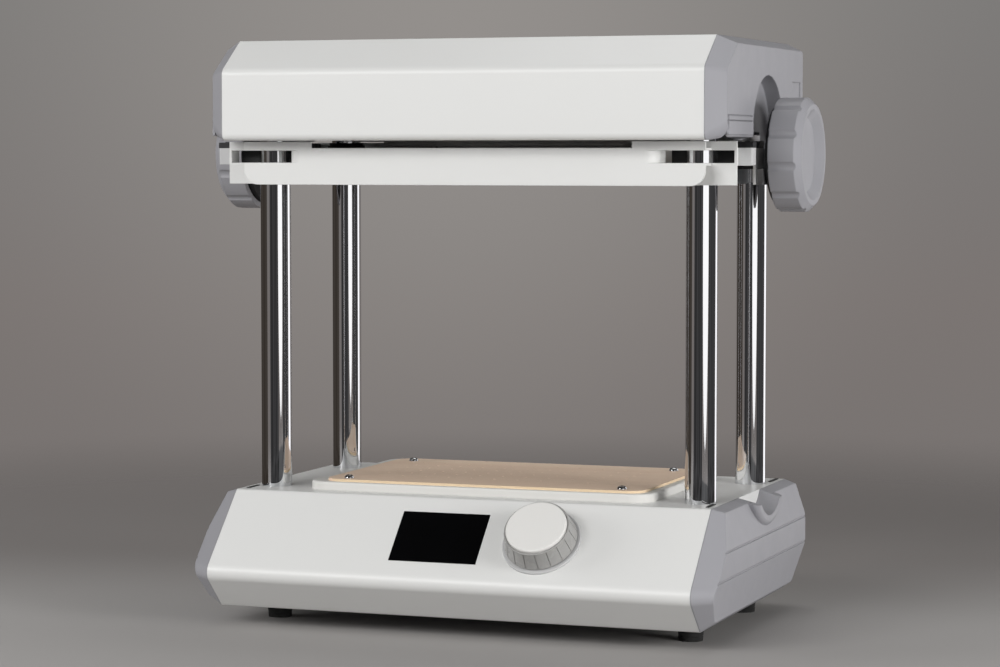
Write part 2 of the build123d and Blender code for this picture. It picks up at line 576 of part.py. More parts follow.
def base_end_cap():
    envelope, cavity = cap_shell(BASE_FACE, BASE_CAP_FACE, BASE_CAP_X, cap_zones(0), cap_zones(CAP_WALL))
    low_axis = AXIS_Z - TRAVEL
    cap = (envelope - cavity) + saddle_collar() + cap_lip(BASE_FACE)
    for _, rank in RANKS:
        y = P + rank * BASE_BOSS_Y
        cap += envelope & rod_x(COVER_HALF_WIDTH, BASE_CAP_X, y, BASE_BOSS_Z, BOSS_PIN_RADIUS)
        cap += rod_x(BLOCK_OUTER, COVER_HALF_WIDTH + 1, y, BASE_BOSS_Z, BOSS_PIN_RADIUS)
    under = BASE_TOP - SHEET - SLIP
    for near, far in CLIP_SPANS:
        cap += slab(CLIP_X - SLIP, CAP_LIP_X + 1, P + near, P + far, under - LIP_WALL, under)
        middle = CLIP_X + CLIP_WIDTH / 2
        half = CLIP_STEM / 2 + FIT
        cap -= slab(middle - half, middle + half, P + near + 3 - FIT, P + far - 3 + FIT, under - 5, under + 1)
    cap -= rod_x(CAP_LIP_X - 1, BASE_CAP_X + 2, P, low_axis, SADDLE_INNER)
    cap -= slab(CAP_LIP_X - 1, COVER_HALF_WIDTH, P - SADDLE_RADIUS, P + SADDLE_RADIUS, BASE_TOP - 30, BASE_TOP)
    for crease in (BASE_TOP - CAP_ZONE_UPPER, BASE_TOP - CAP_ZONE_LOWER):
        low, high = crease - CAP_GROOVE_HALF, crease + CAP_GROOVE_HALF
        cap -= slab(BASE_CAP_X - CAP_GROOVE, BASE_CAP_X + 1, P - PAST_ALL, P + PAST_ALL, low, high)
    return cap


def cap_clips():
    """Clips pressed through the cover's top into the lips of the base end caps."""
    seat = BASE_TOP - SHEET - SLIP
    middle = CLIP_X + CLIP_WIDTH / 2
    clips = []
    for _, side in SIDES:
        for near, far in CLIP_SPANS:
            clip = side_slab(side, CLIP_X, CLIP_X + CLIP_WIDTH, P + near, P + far, seat, BASE_TOP + CLIP_RISE)
            clip += side_slab(side, middle - CLIP_STEM / 2, middle + CLIP_STEM / 2, P + near + 3, P + far - 3,
                              seat - CLIP_DEPTH, seat)
            clips.append(clip)
    return clips


def base_pan():
    edge = 4.0
    pan = slab(-CAP_LIP_X + SLIP, CAP_LIP_X - SLIP, P - BOTTOM_FRONT + edge, P + BOTTOM_BACK - edge,
               BASE_BOTTOM + SHEET, PAN_TOP)
    for x, y in foot_places():
        pan -= rod_z(x, y, BASE_BOTTOM, PAN_TOP + 1, FOOT_SCREW_RADIUS + FIT)
    for number in range(VENTS):
        x = MOTOR_FRONT - MOTOR_LENGTH + VENT_PITCH * number + 32
        pan -= slab(x, x + VENT_WIDTH, P - VENT_HALF_LENGTH, P + VENT_HALF_LENGTH, BASE_BOTTOM, PAN_TOP + 1)
    return pan


def foot_places():
    return [(side * FOOT_X, P + y) for _, side in SIDES for y in (FOOT_FRONT, FOOT_REAR)]


def rubber_feet():
    feet = []
    top = BASE_BOTTOM + SHEET
    for x, y in foot_places():
        foot = Pos(x, y, top / 2) * Cone(FOOT_RADIUS - FOOT_TAPER, FOOT_RADIUS, top)
        for z in FOOT_RIBS:
            ring = rod_z(x, y, z, z + 0.9, FOOT_RADIUS + 1)
            foot -= ring - rod_z(x, y, z, z + 0.9, FOOT_RADIUS - FOOT_TAPER * (1 - z / top) - 0.5)
        foot -= rod_z(x, y, -1, FOOT_WELL_DEPTH, FOOT_WELL_RADIUS)
        foot -= rod_z(x, y, 0, top + 1, FOOT_SCREW_RADIUS + FIT)
        feet.append(foot)
    return feet


def hex_socket_screw(x, y, z_head, direction, shank, radius):
    """Cap screw: head at z_head, shank running along direction (+1 up, -1 down)."""
    z_far = z_head - direction * 1.25 * radius
    screw = rod_z(x, y, min(z_head, z_far), max(z_head, z_far), 1.6 * radius)
    z_tip = z_head + direction * shank
    screw += rod_z(x, y, min(z_head, z_tip), max(z_head, z_tip), radius)
    socket = extrude(Pos(x, y, z_far) * RegularPolygon(0.75 * radius, 6), amount=direction * 0.75 * radius)
    return screw - socket


def foot_screws():
    shank = POST_FOOT - 0.5 - FOOT_WELL_DEPTH
    return [hex_socket_screw(x, y, FOOT_WELL_DEPTH, 1, shank, FOOT_SCREW_RADIUS) for x, y in foot_places()]


def post_grub_screws():
    """Set screws through the ends of the base's blocks, against the posts."""
    screws = []
    for _, side in SIDES:
        for _, rank in RANKS:
            y0, y1 = sorted((P + rank * (POST_Y + POST_RADIUS), P + rank * (BLOCK_HALF_LENGTH - 0.5)))
            screw = rod_y(side * POST_X, y0, y1, GRUB_Z, GRUB_RADIUS)
            mouth = y1 if rank > 0 else y0
            screw -= rod_y(side * POST_X, mouth - 2.5, mouth + 2.5, GRUB_Z, GRUB_RADIUS / 2)
            screws.append(screw)
    return screws


def post_top_bolts():
    return [hex_socket_screw(s * POST_X, P + r * POST_Y, HEAD_BLOCK_TOP, -1, POST_BOLT_LENGTH, POST_BOLT_RADIUS)
            for _, s in SIDES for _, r in RANKS]


def post(side, rank):
    x, y = side * POST_X, P + rank * POST_Y
    bar = rod_z(x, y, POST_FOOT, POST_TOP, POST_RADIUS)
    bar = chamfer(bar.edges().filter_by(GeomType.CIRCLE), 1.0)
    return bar - rod_z(x, y, POST_TOP - 25, POST_TOP + 1, POST_BOLT_RADIUS + FIT)


def post_block(side, z0, z1, bore_from, bore_to):
    """A bar that ties a front and a rear post together."""
    block = side_slab(side, BLOCK_INNER, BLOCK_OUTER, P - BLOCK_HALF_LENGTH, P + BLOCK_HALF_LENGTH, z0, z1)
    block = chamfer(block.edges().filter_by(Axis.Z), 2.0)
    for _, rank in RANKS:
        block -= rod_z(side * POST_X, P + rank * POST_Y, bore_from, bore_to, POST_RADIUS + FIT)
    return block


def base_post_blocks():
    blocks = []
    top = PAN_TOP + BASE_BLOCK_HEIGHT
    for _, side in SIDES:
        block = post_block(side, PAN_TOP, top, POST_FOOT, top + 1)
        for x, y in foot_places():
            block -= rod_z(x, y, PAN_TOP - 1, POST_FOOT - 0.4, FOOT_SCREW_RADIUS + FIT)
        for _, rank in RANKS:
            y0, y1 = sorted((P + rank * POST_Y, P + rank * (BLOCK_HALF_LENGTH + 1)))
            block -= rod_y(side * POST_X, y0, y1, GRUB_Z, GRUB_RADIUS + FIT)
        blocks.append(block)
    return blocks


def head_post_block(side):
    block = post_block(side, HEAD_BLOCK_LOW, HEAD_BLOCK_TOP, HEAD_BLOCK_LOW - 1, POST_TOP)
    bore = POST_BOLT_RADIUS + FIT
    for _, rank in RANKS:
        block -= rod_z(side * POST_X, P + rank * POST_Y, POST_TOP - 1, HEAD_BLOCK_TOP + 1, bore)
    return block


def bed_plinth():
    face = RectangleRounded(2 * PLINTH_HALF_WIDTH, 2 * PLINTH_HALF_DEPTH, PLINTH_CORNER)
    bed = extrude(Pos(0, P, BASE_TOP) * face, amount=PLINTH_HEIGHT)
    bed = fillet(bed.faces().sort_by(Axis.Z)[-1].edges(), 1.5)
    floor, near, far = BOARD_LOW - AIR_BOX_DEPTH, P - AIR_BOX_FRONT, P + AIR_BOX_BACK
    bed -= slab(-AIR_BOX_HALF_WIDTH, AIR_BOX_HALF_WIDTH, near, far, floor, BOARD_LOW + 1)
    for x in AIR_BOX_RIBS:
        bed += slab(x - SHEET, x + SHEET, near, P - AIR_BOX_PASSAGE, floor, BOARD_LOW)
        bed += slab(x - SHEET, x + SHEET, P + AIR_BOX_PASSAGE, far, floor, BOARD_LOW)
    bed -= rod_z(0, P, BASE_TOP - 1, BOARD_LOW, SPOUT_BORE)
    for x, y in board_screw_places():
        bed -= rod_z(x, y, BASE_TOP + 1, BOARD_LOW + 1, BOARD_SCREW_RADIUS + FIT)
    return bed


def board_screw_places():
    return [(BOARD_SHIFT + side * BOARD_SCREW_X, P + y)
            for _, side in SIDES for y in (-BOARD_SCREW_FRONT, BOARD_SCREW_BACK)]


def platen_board():
    depth = BOARD_FRONT + BOARD_BACK
    middle = P + (BOARD_BACK - BOARD_FRONT) / 2
    outline = RectangleRounded(2 * BOARD_HALF_WIDTH, depth, BOARD_CORNER)
    board = extrude(Pos(BOARD_SHIFT, middle, BOARD_LOW) * outline, amount=BOARD_THICKNESS)
    holes = GridLocations(AIR_HOLE_PITCH, AIR_HOLE_PITCH, AIR_HOLE_COLUMNS, AIR_HOLE_ROWS)
    drills = [Pos(0, P + 1.5, BOARD_LOW + BOARD_THICKNESS / 2) * place * Cylinder(AIR_HOLE_RADIUS, 8)
              for place in holes]
    board -= drills
    board -= [rod_z(x, y, BOARD_LOW - 1, BOARD_TOP + 1, BOARD_SCREW_RADIUS + FIT)
              for x, y in board_screw_places()]
    return board


def platen_screws():
    screws = []
    for x, y in board_screw_places():
        head = rod_z(x, y, BOARD_TOP, BOARD_TOP + BOARD_SCREW_RISE, BOARD_SCREW_HEAD)
        head = fillet(head.edges().sort_by(Axis.Z)[-1], BOARD_SCREW_RISE - 0.3)
        head += rod_z(x, y, BASE_TOP + 1.5, BOARD_TOP, BOARD_SCREW_RADIUS)
        for turn in (0, 90):
            head -= Pos(x, y, BOARD_TOP + BOARD_SCREW_RISE) * Rot(0, 0, turn) * Box(4.0, 0.8, 2.4)
        screws.append(head)
    return screws


# ---- vacuum system --------------------------------------------------------------------
def suction_spout():
    under = BASE_TOP - SHEET
    spout = rod_z(0, P, under, BASE_TOP, SPOUT_RADIUS) + rod_z(0, P, under - 3, under, SPOUT_FLANGE_RADIUS)
    spout += rod_z(0, P, MOTOR_Z + HOSE_BEND, under - 3, SPOUT_RADIUS)
    return spout - rod_z(0, P, MOTOR_Z + HOSE_BEND - 1, BASE_TOP + 1, SPOUT_BORE)


def vacuum_hose():
    start = BASE_TOP - SHEET - 3 - 6
    path = FilletPolyline((0, P, start), (0, P, MOTOR_Z), (MOTOR_FRONT + 14, P, MOTOR_Z), radius=HOSE_BEND)
    ring = Circle(HOSE_RADIUS) - Circle(SPOUT_RADIUS + FIT)
    return sweep(Plane(origin=(0, P, start), z_dir=(0, 0, -1)) * ring, path=path)


def vacuum_motor_can():
    """Motor's can with its inlet pipe, the plate behind the impeller, and the outlets around the motor's core."""
    back, baffle = MOTOR_FRONT - MOTOR_LENGTH, MOTOR_FRONT - MOTOR_BAFFLE
    inner = MOTOR_RADIUS - MOTOR_SKIN
    can = rod_x(back, MOTOR_FRONT, P, MOTOR_Z, MOTOR_RADIUS)
    can -= rod_x(back + MOTOR_END, MOTOR_FRONT - MOTOR_END, P, MOTOR_Z, inner)
    can += rod_x(baffle - MOTOR_BAFFLE_SHEET, baffle, P, MOTOR_Z, inner + MOTOR_SKIN / 2)
    can += rod_x(back + 2, back + 2 * MOTOR_END + 2, P, MOTOR_Z, MOTOR_BEARING_RADIUS)
    can += rod_x(MOTOR_FRONT - 1, MOTOR_FRONT + MOTOR_NOZZLE, P, MOTOR_Z, SPOUT_RADIUS)
    can -= rod_x(MOTOR_FRONT - MOTOR_END - 1, MOTOR_FRONT + MOTOR_NOZZLE + 1, P, MOTOR_Z, SPOUT_BORE)
    can -= rod_x(back + MOTOR_END, baffle + MOTOR_BAFFLE_SHEET, P, MOTOR_Z, ROTOR_SHAFT + FIT)
    window = Box(MOTOR_WINDOW[0], MOTOR_WINDOW[1], 2 * (MOTOR_RADIUS - SPOUT_RADIUS))
    port = Pos(baffle - MOTOR_BAFFLE_SHEET / 2, P, MOTOR_Z)
    for turn in range(0, 360, 60):
        around = Pos(MOTOR_FRONT - MOTOR_WINDOWS_AT, P, MOTOR_Z) * Rot(turn + 30, 0, 0)
        can -= around * Pos(0, 0, MOTOR_RADIUS) * window
        can -= port * Rot(turn, 0, 0) * Pos(0, 0, inner * 0.6) * Box(MOTOR_PORT[0], MOTOR_PORT[1], MOTOR_PORT[1])
    return can


def vacuum_impeller():
    front = MOTOR_FRONT - 7
    rotor = rod_x(MOTOR_FRONT - MOTOR_LENGTH + 4, front, P, MOTOR_Z, ROTOR_SHAFT)
    eye = rod_x(front - 4, front + 1, P, MOTOR_Z, IMPELLER_EYE)
    rotor += rod_x(front - 3, front, P, MOTOR_Z, IMPELLER_RADIUS) - eye
    rotor += rod_x(front - 14, front - 12, P, MOTOR_Z, IMPELLER_RADIUS)
    rotor += rod_x(front - 14, front, P, MOTOR_Z, 8)
    for turn in range(0, 360, 40):
        rotor += Pos(front - 8, P, MOTOR_Z) * Rot(turn, 0, 0) * Pos(0, 0, 19) * Box(10, 2, 25)
    rotor += rod_x(front - ROTOR_CORE_FAR, front - ROTOR_CORE_NEAR, P, MOTOR_Z, ROTOR_CORE_RADIUS)
    return rotor


def motor_cradle():
    front, back = MOTOR_FRONT - CRADLE_INSET, MOTOR_FRONT - MOTOR_LENGTH + CRADLE_INSET
    cradle = slab(back, front, P - CRADLE_HALF_WIDTH, P + CRADLE_HALF_WIDTH, PAN_TOP, MOTOR_Z - CRADLE_DROP)
    return cradle - rod_x(back - 1, front + 1, P, MOTOR_Z, MOTOR_RADIUS + FIT)


# ---- electrics ------------------------------------------------------------------------
def control_board():
    """Main board on four pillars, with its processor, two relays and four capacitors."""
    right = BLOCK_INNER - ELECTRICS_GAP
    left, near, far = right - MAIN_BOARD_WIDTH, P - MAIN_BOARD_FRONT, P - MAIN_BOARD_BACK
    low = PAN_TOP + MAIN_BOARD_LIFT
    top, inset = low + MAIN_BOARD_THICKNESS, MAIN_BOARD_HOLE_INSET
    board = slab(left, right, near, far, low, top)
    for x in (left + inset, right - inset):
        for y in (near + inset, far - inset):
            board += rod_z(x, y, PAN_TOP, low, 3)
    board += slab(left + 30, left + 50, near + 20, near + 40, top, top + 2.4)
    for relay in RELAY_PLACES:
        x = left + relay
        board += slab(x, x + 18, near + 10, near + 26, top, top + 15.4)
    for number in range(4):
        board += rod_z(left + 40 + 14 * number, far - 11, top, top + 12.4, 4)
    return board


def display_window():
    glass = Box(SCREEN_WIDTH, SCREEN_HEIGHT, SHEET)
    return on_panel(SCREEN_X, PANEL_ROW, -SHEET / 2) * glass


def display_module():
    module = Box(SCREEN_WIDTH + 12, SCREEN_HEIGHT + 7, 5) + Pos(0, 0, -4) * Box(SCREEN_WIDTH, SCREEN_HEIGHT, 4)
    return on_panel(SCREEN_X, PANEL_ROW, -SHEET - 2.5) * module


def encoder_body():
    """Push encoder: can with its threaded bush, and the nut on the panel's face."""
    place = on_panel(DIAL_X, PANEL_ROW, 0)
    can = Pos(0, 0, -SHEET - 5) * Box(16, 16, 10) - Pos(0, 0, -SHEET - 5) * Cylinder(6, 6)
    can += Pos(0, 0, 1.5) * Cylinder(BUSH_RADIUS, 6)
    can -= Pos(0, 0, 0) * Cylinder(ENCODER_SHAFT + FIT, 16)
    nut = extrude(RegularPolygon(7, 6), amount=2.2) - Cylinder(BUSH_RADIUS + FIT, 10)
    return [place * can, place * nut]


def encoder_rotor():
    disc = Cylinder(5.9, 3.0) - Cylinder(ENCODER_SHAFT + FIT, 8)
    return on_panel(DIAL_X, PANEL_ROW, -SHEET - 5) * disc


def encoder_shaft():
    low, high = -SHEET - 7, DIAL_RING_TOP - 2
    return on_panel(DIAL_X, PANEL_ROW, (low + high) / 2) * Cylinder(ENCODER_SHAFT, high - low)


def dial_seat():
    seat = extrude(Circle(DIAL_SEAT_RADIUS), amount=DIAL_SEAT_HEIGHT)
    seat = fillet(seat.edges().sort_by(Axis.Z)[-1], 0.8)
    return on_panel(DIAL_X, PANEL_ROW, 0) * (seat - Cylinder(9, 20))


def dial_ring():
    """Skirt of the dial with fine lines down it, and the hub that grips the shaft."""
    low = DIAL_SEAT_HEIGHT + DIAL_GAP
    height = DIAL_RING_TOP - low
    middle = low + height / 2
    lean = math.degrees(math.atan(DIAL_RING_TAPER / height))
    ring = Pos(0, 0, middle) * Cone(DIAL_RING_RADIUS, DIAL_RING_RADIUS - DIAL_RING_TAPER, height)
    ring = fillet(ring.edges().sort_by(Axis.Z)[-1], 0.6)
    line = Pos(DIAL_RING_RADIUS - DIAL_RING_TAPER / 2, 0, middle) * Rot(0, -lean, 0) * Box(0.9, 0.8, height - 1)
    ring -= [Rot(0, 0, 360 / DIAL_LINES * number) * line for number in range(DIAL_LINES)]
    ring -= Pos(0, 0, DIAL_RING_TOP) * Cylinder(DIAL_CAP_RADIUS + 0.5, 2 * DIAL_CAP_SEAT)
    ring -= Pos(0, 0, low) * Cylinder(DIAL_RING_RADIUS - 6, 2 * (height - 5))
    hub_low, hub_high = low + 3.4, DIAL_RING_TOP - 3
    ring += Pos(0, 0, (hub_low + hub_high) / 2) * Cylinder(6, hub_high - hub_low)
    ring -= Cylinder(ENCODER_SHAFT + FIT, 2 * (DIAL_RING_TOP - 2))
    return on_panel(DIAL_X, PANEL_ROW, 0) * ring


def dial_cap():
    seat = DIAL_RING_TOP - DIAL_CAP_SEAT
    cap = Pos(0, 0, (seat + DIAL_CAP_TOP) / 2) * Cylinder(DIAL_CAP_RADIUS, DIAL_CAP_TOP - seat)
    cap = fillet(cap.edges().sort_by(Axis.Z)[-1], 1.4)
    return on_panel(DIAL_X, PANEL_ROW, 0) * cap


def power_supply():
    """Closed supply with a row of vents in its lid."""
    right = BLOCK_INNER - ELECTRICS_GAP
    left, top = right - SUPPLY_WIDTH, PAN_TOP + SUPPLY_HEIGHT
    box = slab(left, right, P + SUPPLY_FRONT, P + SUPPLY_BACK, PAN_TOP, top)
    vents = int((SUPPLY_WIDTH - 2 * SUPPLY_VENT_PITCH) / SUPPLY_VENT_PITCH)
    for number in range(vents):
        x = left + SUPPLY_VENT_PITCH * (number + 1)
        box -= slab(x, x + SUPPLY_VENT_WIDTH, P + SUPPLY_FRONT + 6, P + SUPPLY_BACK - 6, top - 2, top + 1)
    return box


def rear_panel():
    """Recessed service panel: back plate with walls that meet the folded cover."""
    wall = SHEET
    deep = P + BASE_BACK - POCKET_DEPTH
    tray = slab(-POCKET_HALF_WIDTH - wall, POCKET_HALF_WIDTH + wall, deep - wall, P + BASE_BACK,
                POCKET_LOW - wall, POCKET_HIGH + wall)
    tray -= slab(-POCKET_HALF_WIDTH, POCKET_HALF_WIDTH, deep, P + BASE_BACK + 1, POCKET_LOW, POCKET_HIGH)
    tray &= across(BASE_FACE, -COVER_HALF_WIDTH, COVER_HALF_WIDTH)
    tray -= slab(INLET_X - 14, INLET_X + 14, deep - 5, deep + 5, SERVICE_Z - 10.5, SERVICE_Z + 10.5)
    tray -= slab(SWITCH_X - 7, SWITCH_X + 7, deep - 5, deep + 5, SERVICE_Z - 10, SERVICE_Z + 10)
    for row in range(-3, 4):
        half = math.sqrt(20 ** 2 - (row * 5.6) ** 2)
        tray -= slab(FAN_X - half, FAN_X + half, deep - 5, deep + 5, SERVICE_Z + row * 5.6 - 1.5,
                     SERVICE_Z + row * 5.6 + 1.5)
    return tray


def power_inlet():
    face = P + BASE_BACK - POCKET_DEPTH
    body = slab(INLET_X - 13.9, INLET_X + 13.9, face - 16, face + 2, SERVICE_Z - 10.4, SERVICE_Z + 10.4)
    body += slab(INLET_X - 24, INLET_X + 24, face, face + 2, SERVICE_Z - 13, SERVICE_Z + 13)
    body -= slab(INLET_X - 12, INLET_X + 12, face - 13, face + 3, SERVICE_Z - 8.5, SERVICE_Z + 8.5)
    for across, up in ((-7, -2), (7, -2), (0, 2)):
        x, z = INLET_X + across, SERVICE_Z + up
        body += slab(x - 1, x + 1, face - 13.5, face - 2, z - 2, z + 2)
    return body


def switch_frame():
    face = P + BASE_BACK - POCKET_DEPTH
    frame = slab(SWITCH_X - 6.9, SWITCH_X + 6.9, face - 14, face + 2, SERVICE_Z - 9.9, SERVICE_Z + 9.9)
    frame += slab(SWITCH_X - 9, SWITCH_X + 9, face, face + 2, SERVICE_Z - 12.5, SERVICE_Z + 12.5)
    return frame - slab(SWITCH_X - 5.4, SWITCH_X + 5.4, face - 12, face + 3, SERVICE_Z - 8.6, SERVICE_Z + 8.6)


def power_rocker():
    """Rocker key with its pivot pin; the pin turns in the frame's side walls."""
    face = P + BASE_BACK - POCKET_DEPTH
    key = rod_x(SWITCH_X - 5.2, SWITCH_X + 5.2, face - 2, SERVICE_Z, 4)
    for half in (-1, 1):
        blade = Pos(0, 2.4, half * 3.4) * Box(10.4, 3.2, 7.6)
        key += Pos(SWITCH_X, face - 2, SERVICE_Z) * Rot((half - 1) * ROCKER_TILT, 0, 0) * blade
    return key


def fan_frame():
    back = P + BASE_BACK - POCKET_DEPTH - SHEET
    frame = slab(FAN_X - FAN_HALF, FAN_X + FAN_HALF, back - FAN_DEPTH, back, SERVICE_Z - FAN_HALF,
                 SERVICE_Z + FAN_HALF)
    frame -= rod_y(FAN_X, back - FAN_DEPTH - 1, back + 1, SERVICE_Z, FAN_DUCT_RADIUS)
    strut = Box(2 * FAN_DUCT_RADIUS + 1, 3, 3)
    for turn in range(0, 180, 60):
        frame += Pos(FAN_X, back - FAN_DEPTH + 1.5, SERVICE_Z) * Rot(0, turn, 0) * strut
    frame += rod_y(FAN_X, back - FAN_DEPTH, back - FAN_DEPTH + 3, SERVICE_Z, FAN_HUB_RADIUS)
    return frame - rod_y(FAN_X, back - FAN_DEPTH + 1, back + 1, SERVICE_Z, 1.5 + FIT)


def fan_rotor():
    back = P + BASE_BACK - POCKET_DEPTH - SHEET
    rotor = rod_y(FAN_X, back - FAN_DEPTH + 1.2, back - 2, SERVICE_Z, 1.5)
    rotor += rod_y(FAN_X, back - FAN_DEPTH + 3.6, back - 1.5, SERVICE_Z, FAN_HUB_RADIUS)
    root, tip = FAN_HUB_RADIUS - FAN_BLADE_SINK, FAN_DUCT_RADIUS - FAN_BLADE_GAP
    blade = Pos(0, 0, (root + tip) / 2) * Rot(0, 0, 35) * Box(1.4, 0.6 * FAN_DEPTH, tip - root)
    for number in range(FAN_BLADES):
        rotor += Pos(FAN_X, back - FAN_DEPTH / 2 + 1, SERVICE_Z) * Rot(0, 360 / FAN_BLADES * number, 0) * blade
    return rotor


# ---- head -----------------------------------------------------------------------------
def head_cover():
    shell = across(HEAD_FACE, -COVER_HALF_WIDTH, COVER_HALF_WIDTH)
    shell -= across(offset(HEAD_FACE, -SHEET), -COVER_HALF_WIDTH, COVER_HALF_WIDTH)
    return shell - slab(-COVER_HALF_WIDTH, COVER_HALF_WIDTH, P - HEAD_FRONT + HEAD_FLANGE,
                        P + HEAD_BACK - HEAD_FLANGE, HEAD_BOTTOM - 1, HEAD_BOTTOM + SHEET)


def head_end_cap():
    envelope, cavity = cap_shell(HEAD_FACE, HEAD_CAP_FACE, HEAD_CAP_X)
    cap = (envelope - cavity) + cap_lip(HEAD_FACE)
    arch_z = AXIS_Z + ARCH_RISE
    x0, x1 = CAP_LIP_X - 1, HEAD_CAP_X + 2
    wall = ARCH_HALF_WIDTH + CAP_WALL
    skin = rod_x(x0, x1, P, arch_z, wall) + slab(x0, x1, P - wall, P + wall, HEAD_BOTTOM - 5, arch_z)
    cap += envelope & skin
    boss_end = HEAD_CAP_X - CAP_WALL / 2
    for _, rank in RANKS:
        cap += rod_x(BLOCK_OUTER, boss_end, P + rank * HEAD_BOSS_Y, HEAD_BOSS_Z, BOSS_PIN_RADIUS)
    y0, y1 = P - HEAD_FRONT + 15.5, P - ARCH_HALF_WIDTH - 3
    cap += slab(HEAD_CAP_X - 1, HEAD_CAP_X + PAD_RISE, y0, y1, PAD_LOW, PAD_TOP)
    for line in (PAD_STEP, PAD_TOP):
        cap -= slab(HEAD_CAP_X - PAD_LINE, HEAD_CAP_X + 2, y0 - 1, y1 + 1, line, line + PAD_LINE)
    tab = P + TAB_FRONT
    cap -= slab(HEAD_CAP_X - TAB_DEPTH, HEAD_CAP_X + 1, tab, tab + TAB_SIZE, TAB_LOW, TAB_HIGH)
    relief = rod_x(x0, x1, P, arch_z, ARCH_HALF_WIDTH)
    relief += slab(x0, x1, P - ARCH_HALF_WIDTH, P + ARCH_HALF_WIDTH, HEAD_BOTTOM - 5, arch_z)
    cap -= relief
    screen = relief & slab(COVER_HALF_WIDTH, COVER_HALF_WIDTH + ARCH_WALL, P - wall, P + wall, HEAD_BOTTOM,
                           arch_z + wall)
    cap += screen - slab(x0, x1, P - ARCH_SLOT_HALF, P + ARCH_SLOT_HALF, HEAD_BOTTOM - 1, ARCH_SLOT_TOP)
    for near, far in ((P - HEAD_FRONT + HEAD_FLANGE, P - wall), (P + wall, P + HEAD_BACK - HEAD_FLANGE)):
        cap -= slab(CAP_LIP_X - 1, HEAD_CAP_X - CAP_WALL, near, far, HEAD_BOTTOM - 1,
                    HEAD_BOTTOM + CAP_WALL + 2)
    return cap


def heat_reflector():
    reach, low = BLOCK_INNER + 6.0, HEAD_BLOCK_TOP
    tray = slab(-reach, reach, P - REFLECTOR_Y, P + REFLECTOR_Y, low, low + REFLECTOR_SHEET)
    box = slab(-REFLECTOR_X, REFLECTOR_X, P - REFLECTOR_Y, P + REFLECTOR_Y, REFLECTOR_LOW, HEAD_BLOCK_TOP)
    inner = REFLECTOR_SHEET
    box -= slab(-REFLECTOR_X + inner, REFLECTOR_X - inner, P - REFLECTOR_Y + inner, P + REFLECTOR_Y - inner,
                REFLECTOR_LOW - 1, HEAD_BLOCK_TOP)
    return tray + box


def insulation_mat():
    low = HEAD_BLOCK_TOP + REFLECTOR_SHEET
    half = REFLECTOR_Y - MAT_INSET
    mat = slab(-REFLECTOR_X, REFLECTOR_X, P - half, P + half, low, low + MAT_THICKNESS)
    return fillet(mat.edges().filter_by(Axis.Z), MAT_CORNER)


def heater_row():
    return [P + HEATER_PITCH * (number - (HEATER_RODS - 1) / 2) for number in range(HEATER_RODS)]


def heater_rods():
    reach = REFLECTOR_X - REFLECTOR_SHEET - 2
    return [rod_x(-reach, reach, y, HEATER_Z, HEATER_RADIUS) for y in heater_row()]


def heater_holders():
    outer = REFLECTOR_X - REFLECTOR_SHEET
    half = REFLECTOR_Y - HOLDER_INSET
    bars = []
    for _, side in SIDES:
        bar = side_slab(side, outer - HOLDER_THICKNESS, outer, P - half, P + half, HEATER_Z - HOLDER_DROP,
                        HEAD_BLOCK_TOP)
        for y in heater_row():
            bar -= rod_x(side * (outer - HOLDER_THICKNESS - 1), side * (outer - 1.6), y, HEATER_Z,
                         HEATER_RADIUS + FIT)
        bars.append(bar)
    return bars


def catch_bar():
    """Bar with two magnets that holds the carriage at the top of its travel."""
    half, web_top = REFLECTOR_X + CATCH_BAR_OVERHANG, REFLECTOR_LOW + CATCH_WEB_RISE
    y = P + REFLECTOR_Y
    bar = slab(-half, half, y - 2.5, y + 3.5, TOP_PLATE + 2.0, TOP_PLATE + 4.7)
    bar += slab(-half, half, y, y + 1.5, TOP_PLATE + 4.7, web_top)
    magnets = [rod_z(side * (REFLECTOR_X - MAGNET_INSET), y + 0.5, TOP_PLATE + 0.3, TOP_PLATE + 2.0, 3.0)
               for _, side in SIDES]
    return [bar] + magnets


# ---- clamp carriage -------------------------------------------------------------------
def plate_outline(z0, z1):
    """The plan of both carriage plates: a wide middle with narrower ends."""
    wide = slab(-APRON_HALF_WIDTH, APRON_HALF_WIDTH, P - APRON_HALF_DEPTH, P + APRON_HALF_DEPTH, z0, z1)
    return wide + slab(-END_FLANGE_X, END_FLANGE_X, P - PLATE_SIDE_DEPTH, P + PLATE_SIDE_DEPTH, z0, z1)


def apron_bend(side):
    """Full-height part of the front apron where it turns back at one end."""
    t, front, x = TRAY_SHEET, P - APRON_HALF_DEPTH, side * APRON_MIDDLE
    top = TOP_PLATE - t
    bend = rod_z(x, front + APRON_BEND, LOW_PLATE, top, APRON_BEND)
    bend -= rod_z(x, front + APRON_BEND, LOW_PLATE, top, APRON_BEND - t)
    bend &= side_slab(side, APRON_MIDDLE, APRON_MIDDLE + APRON_BEND, front, front + APRON_BEND, LOW_PLATE,
                      TOP_PLATE)
    return bend + side_slab(side, APRON_MIDDLE + APRON_BEND - t, APRON_MIDDLE + APRON_BEND, front + APRON_BEND,
                            P - PLATE_SIDE_DEPTH + 6, LOW_PLATE, top)


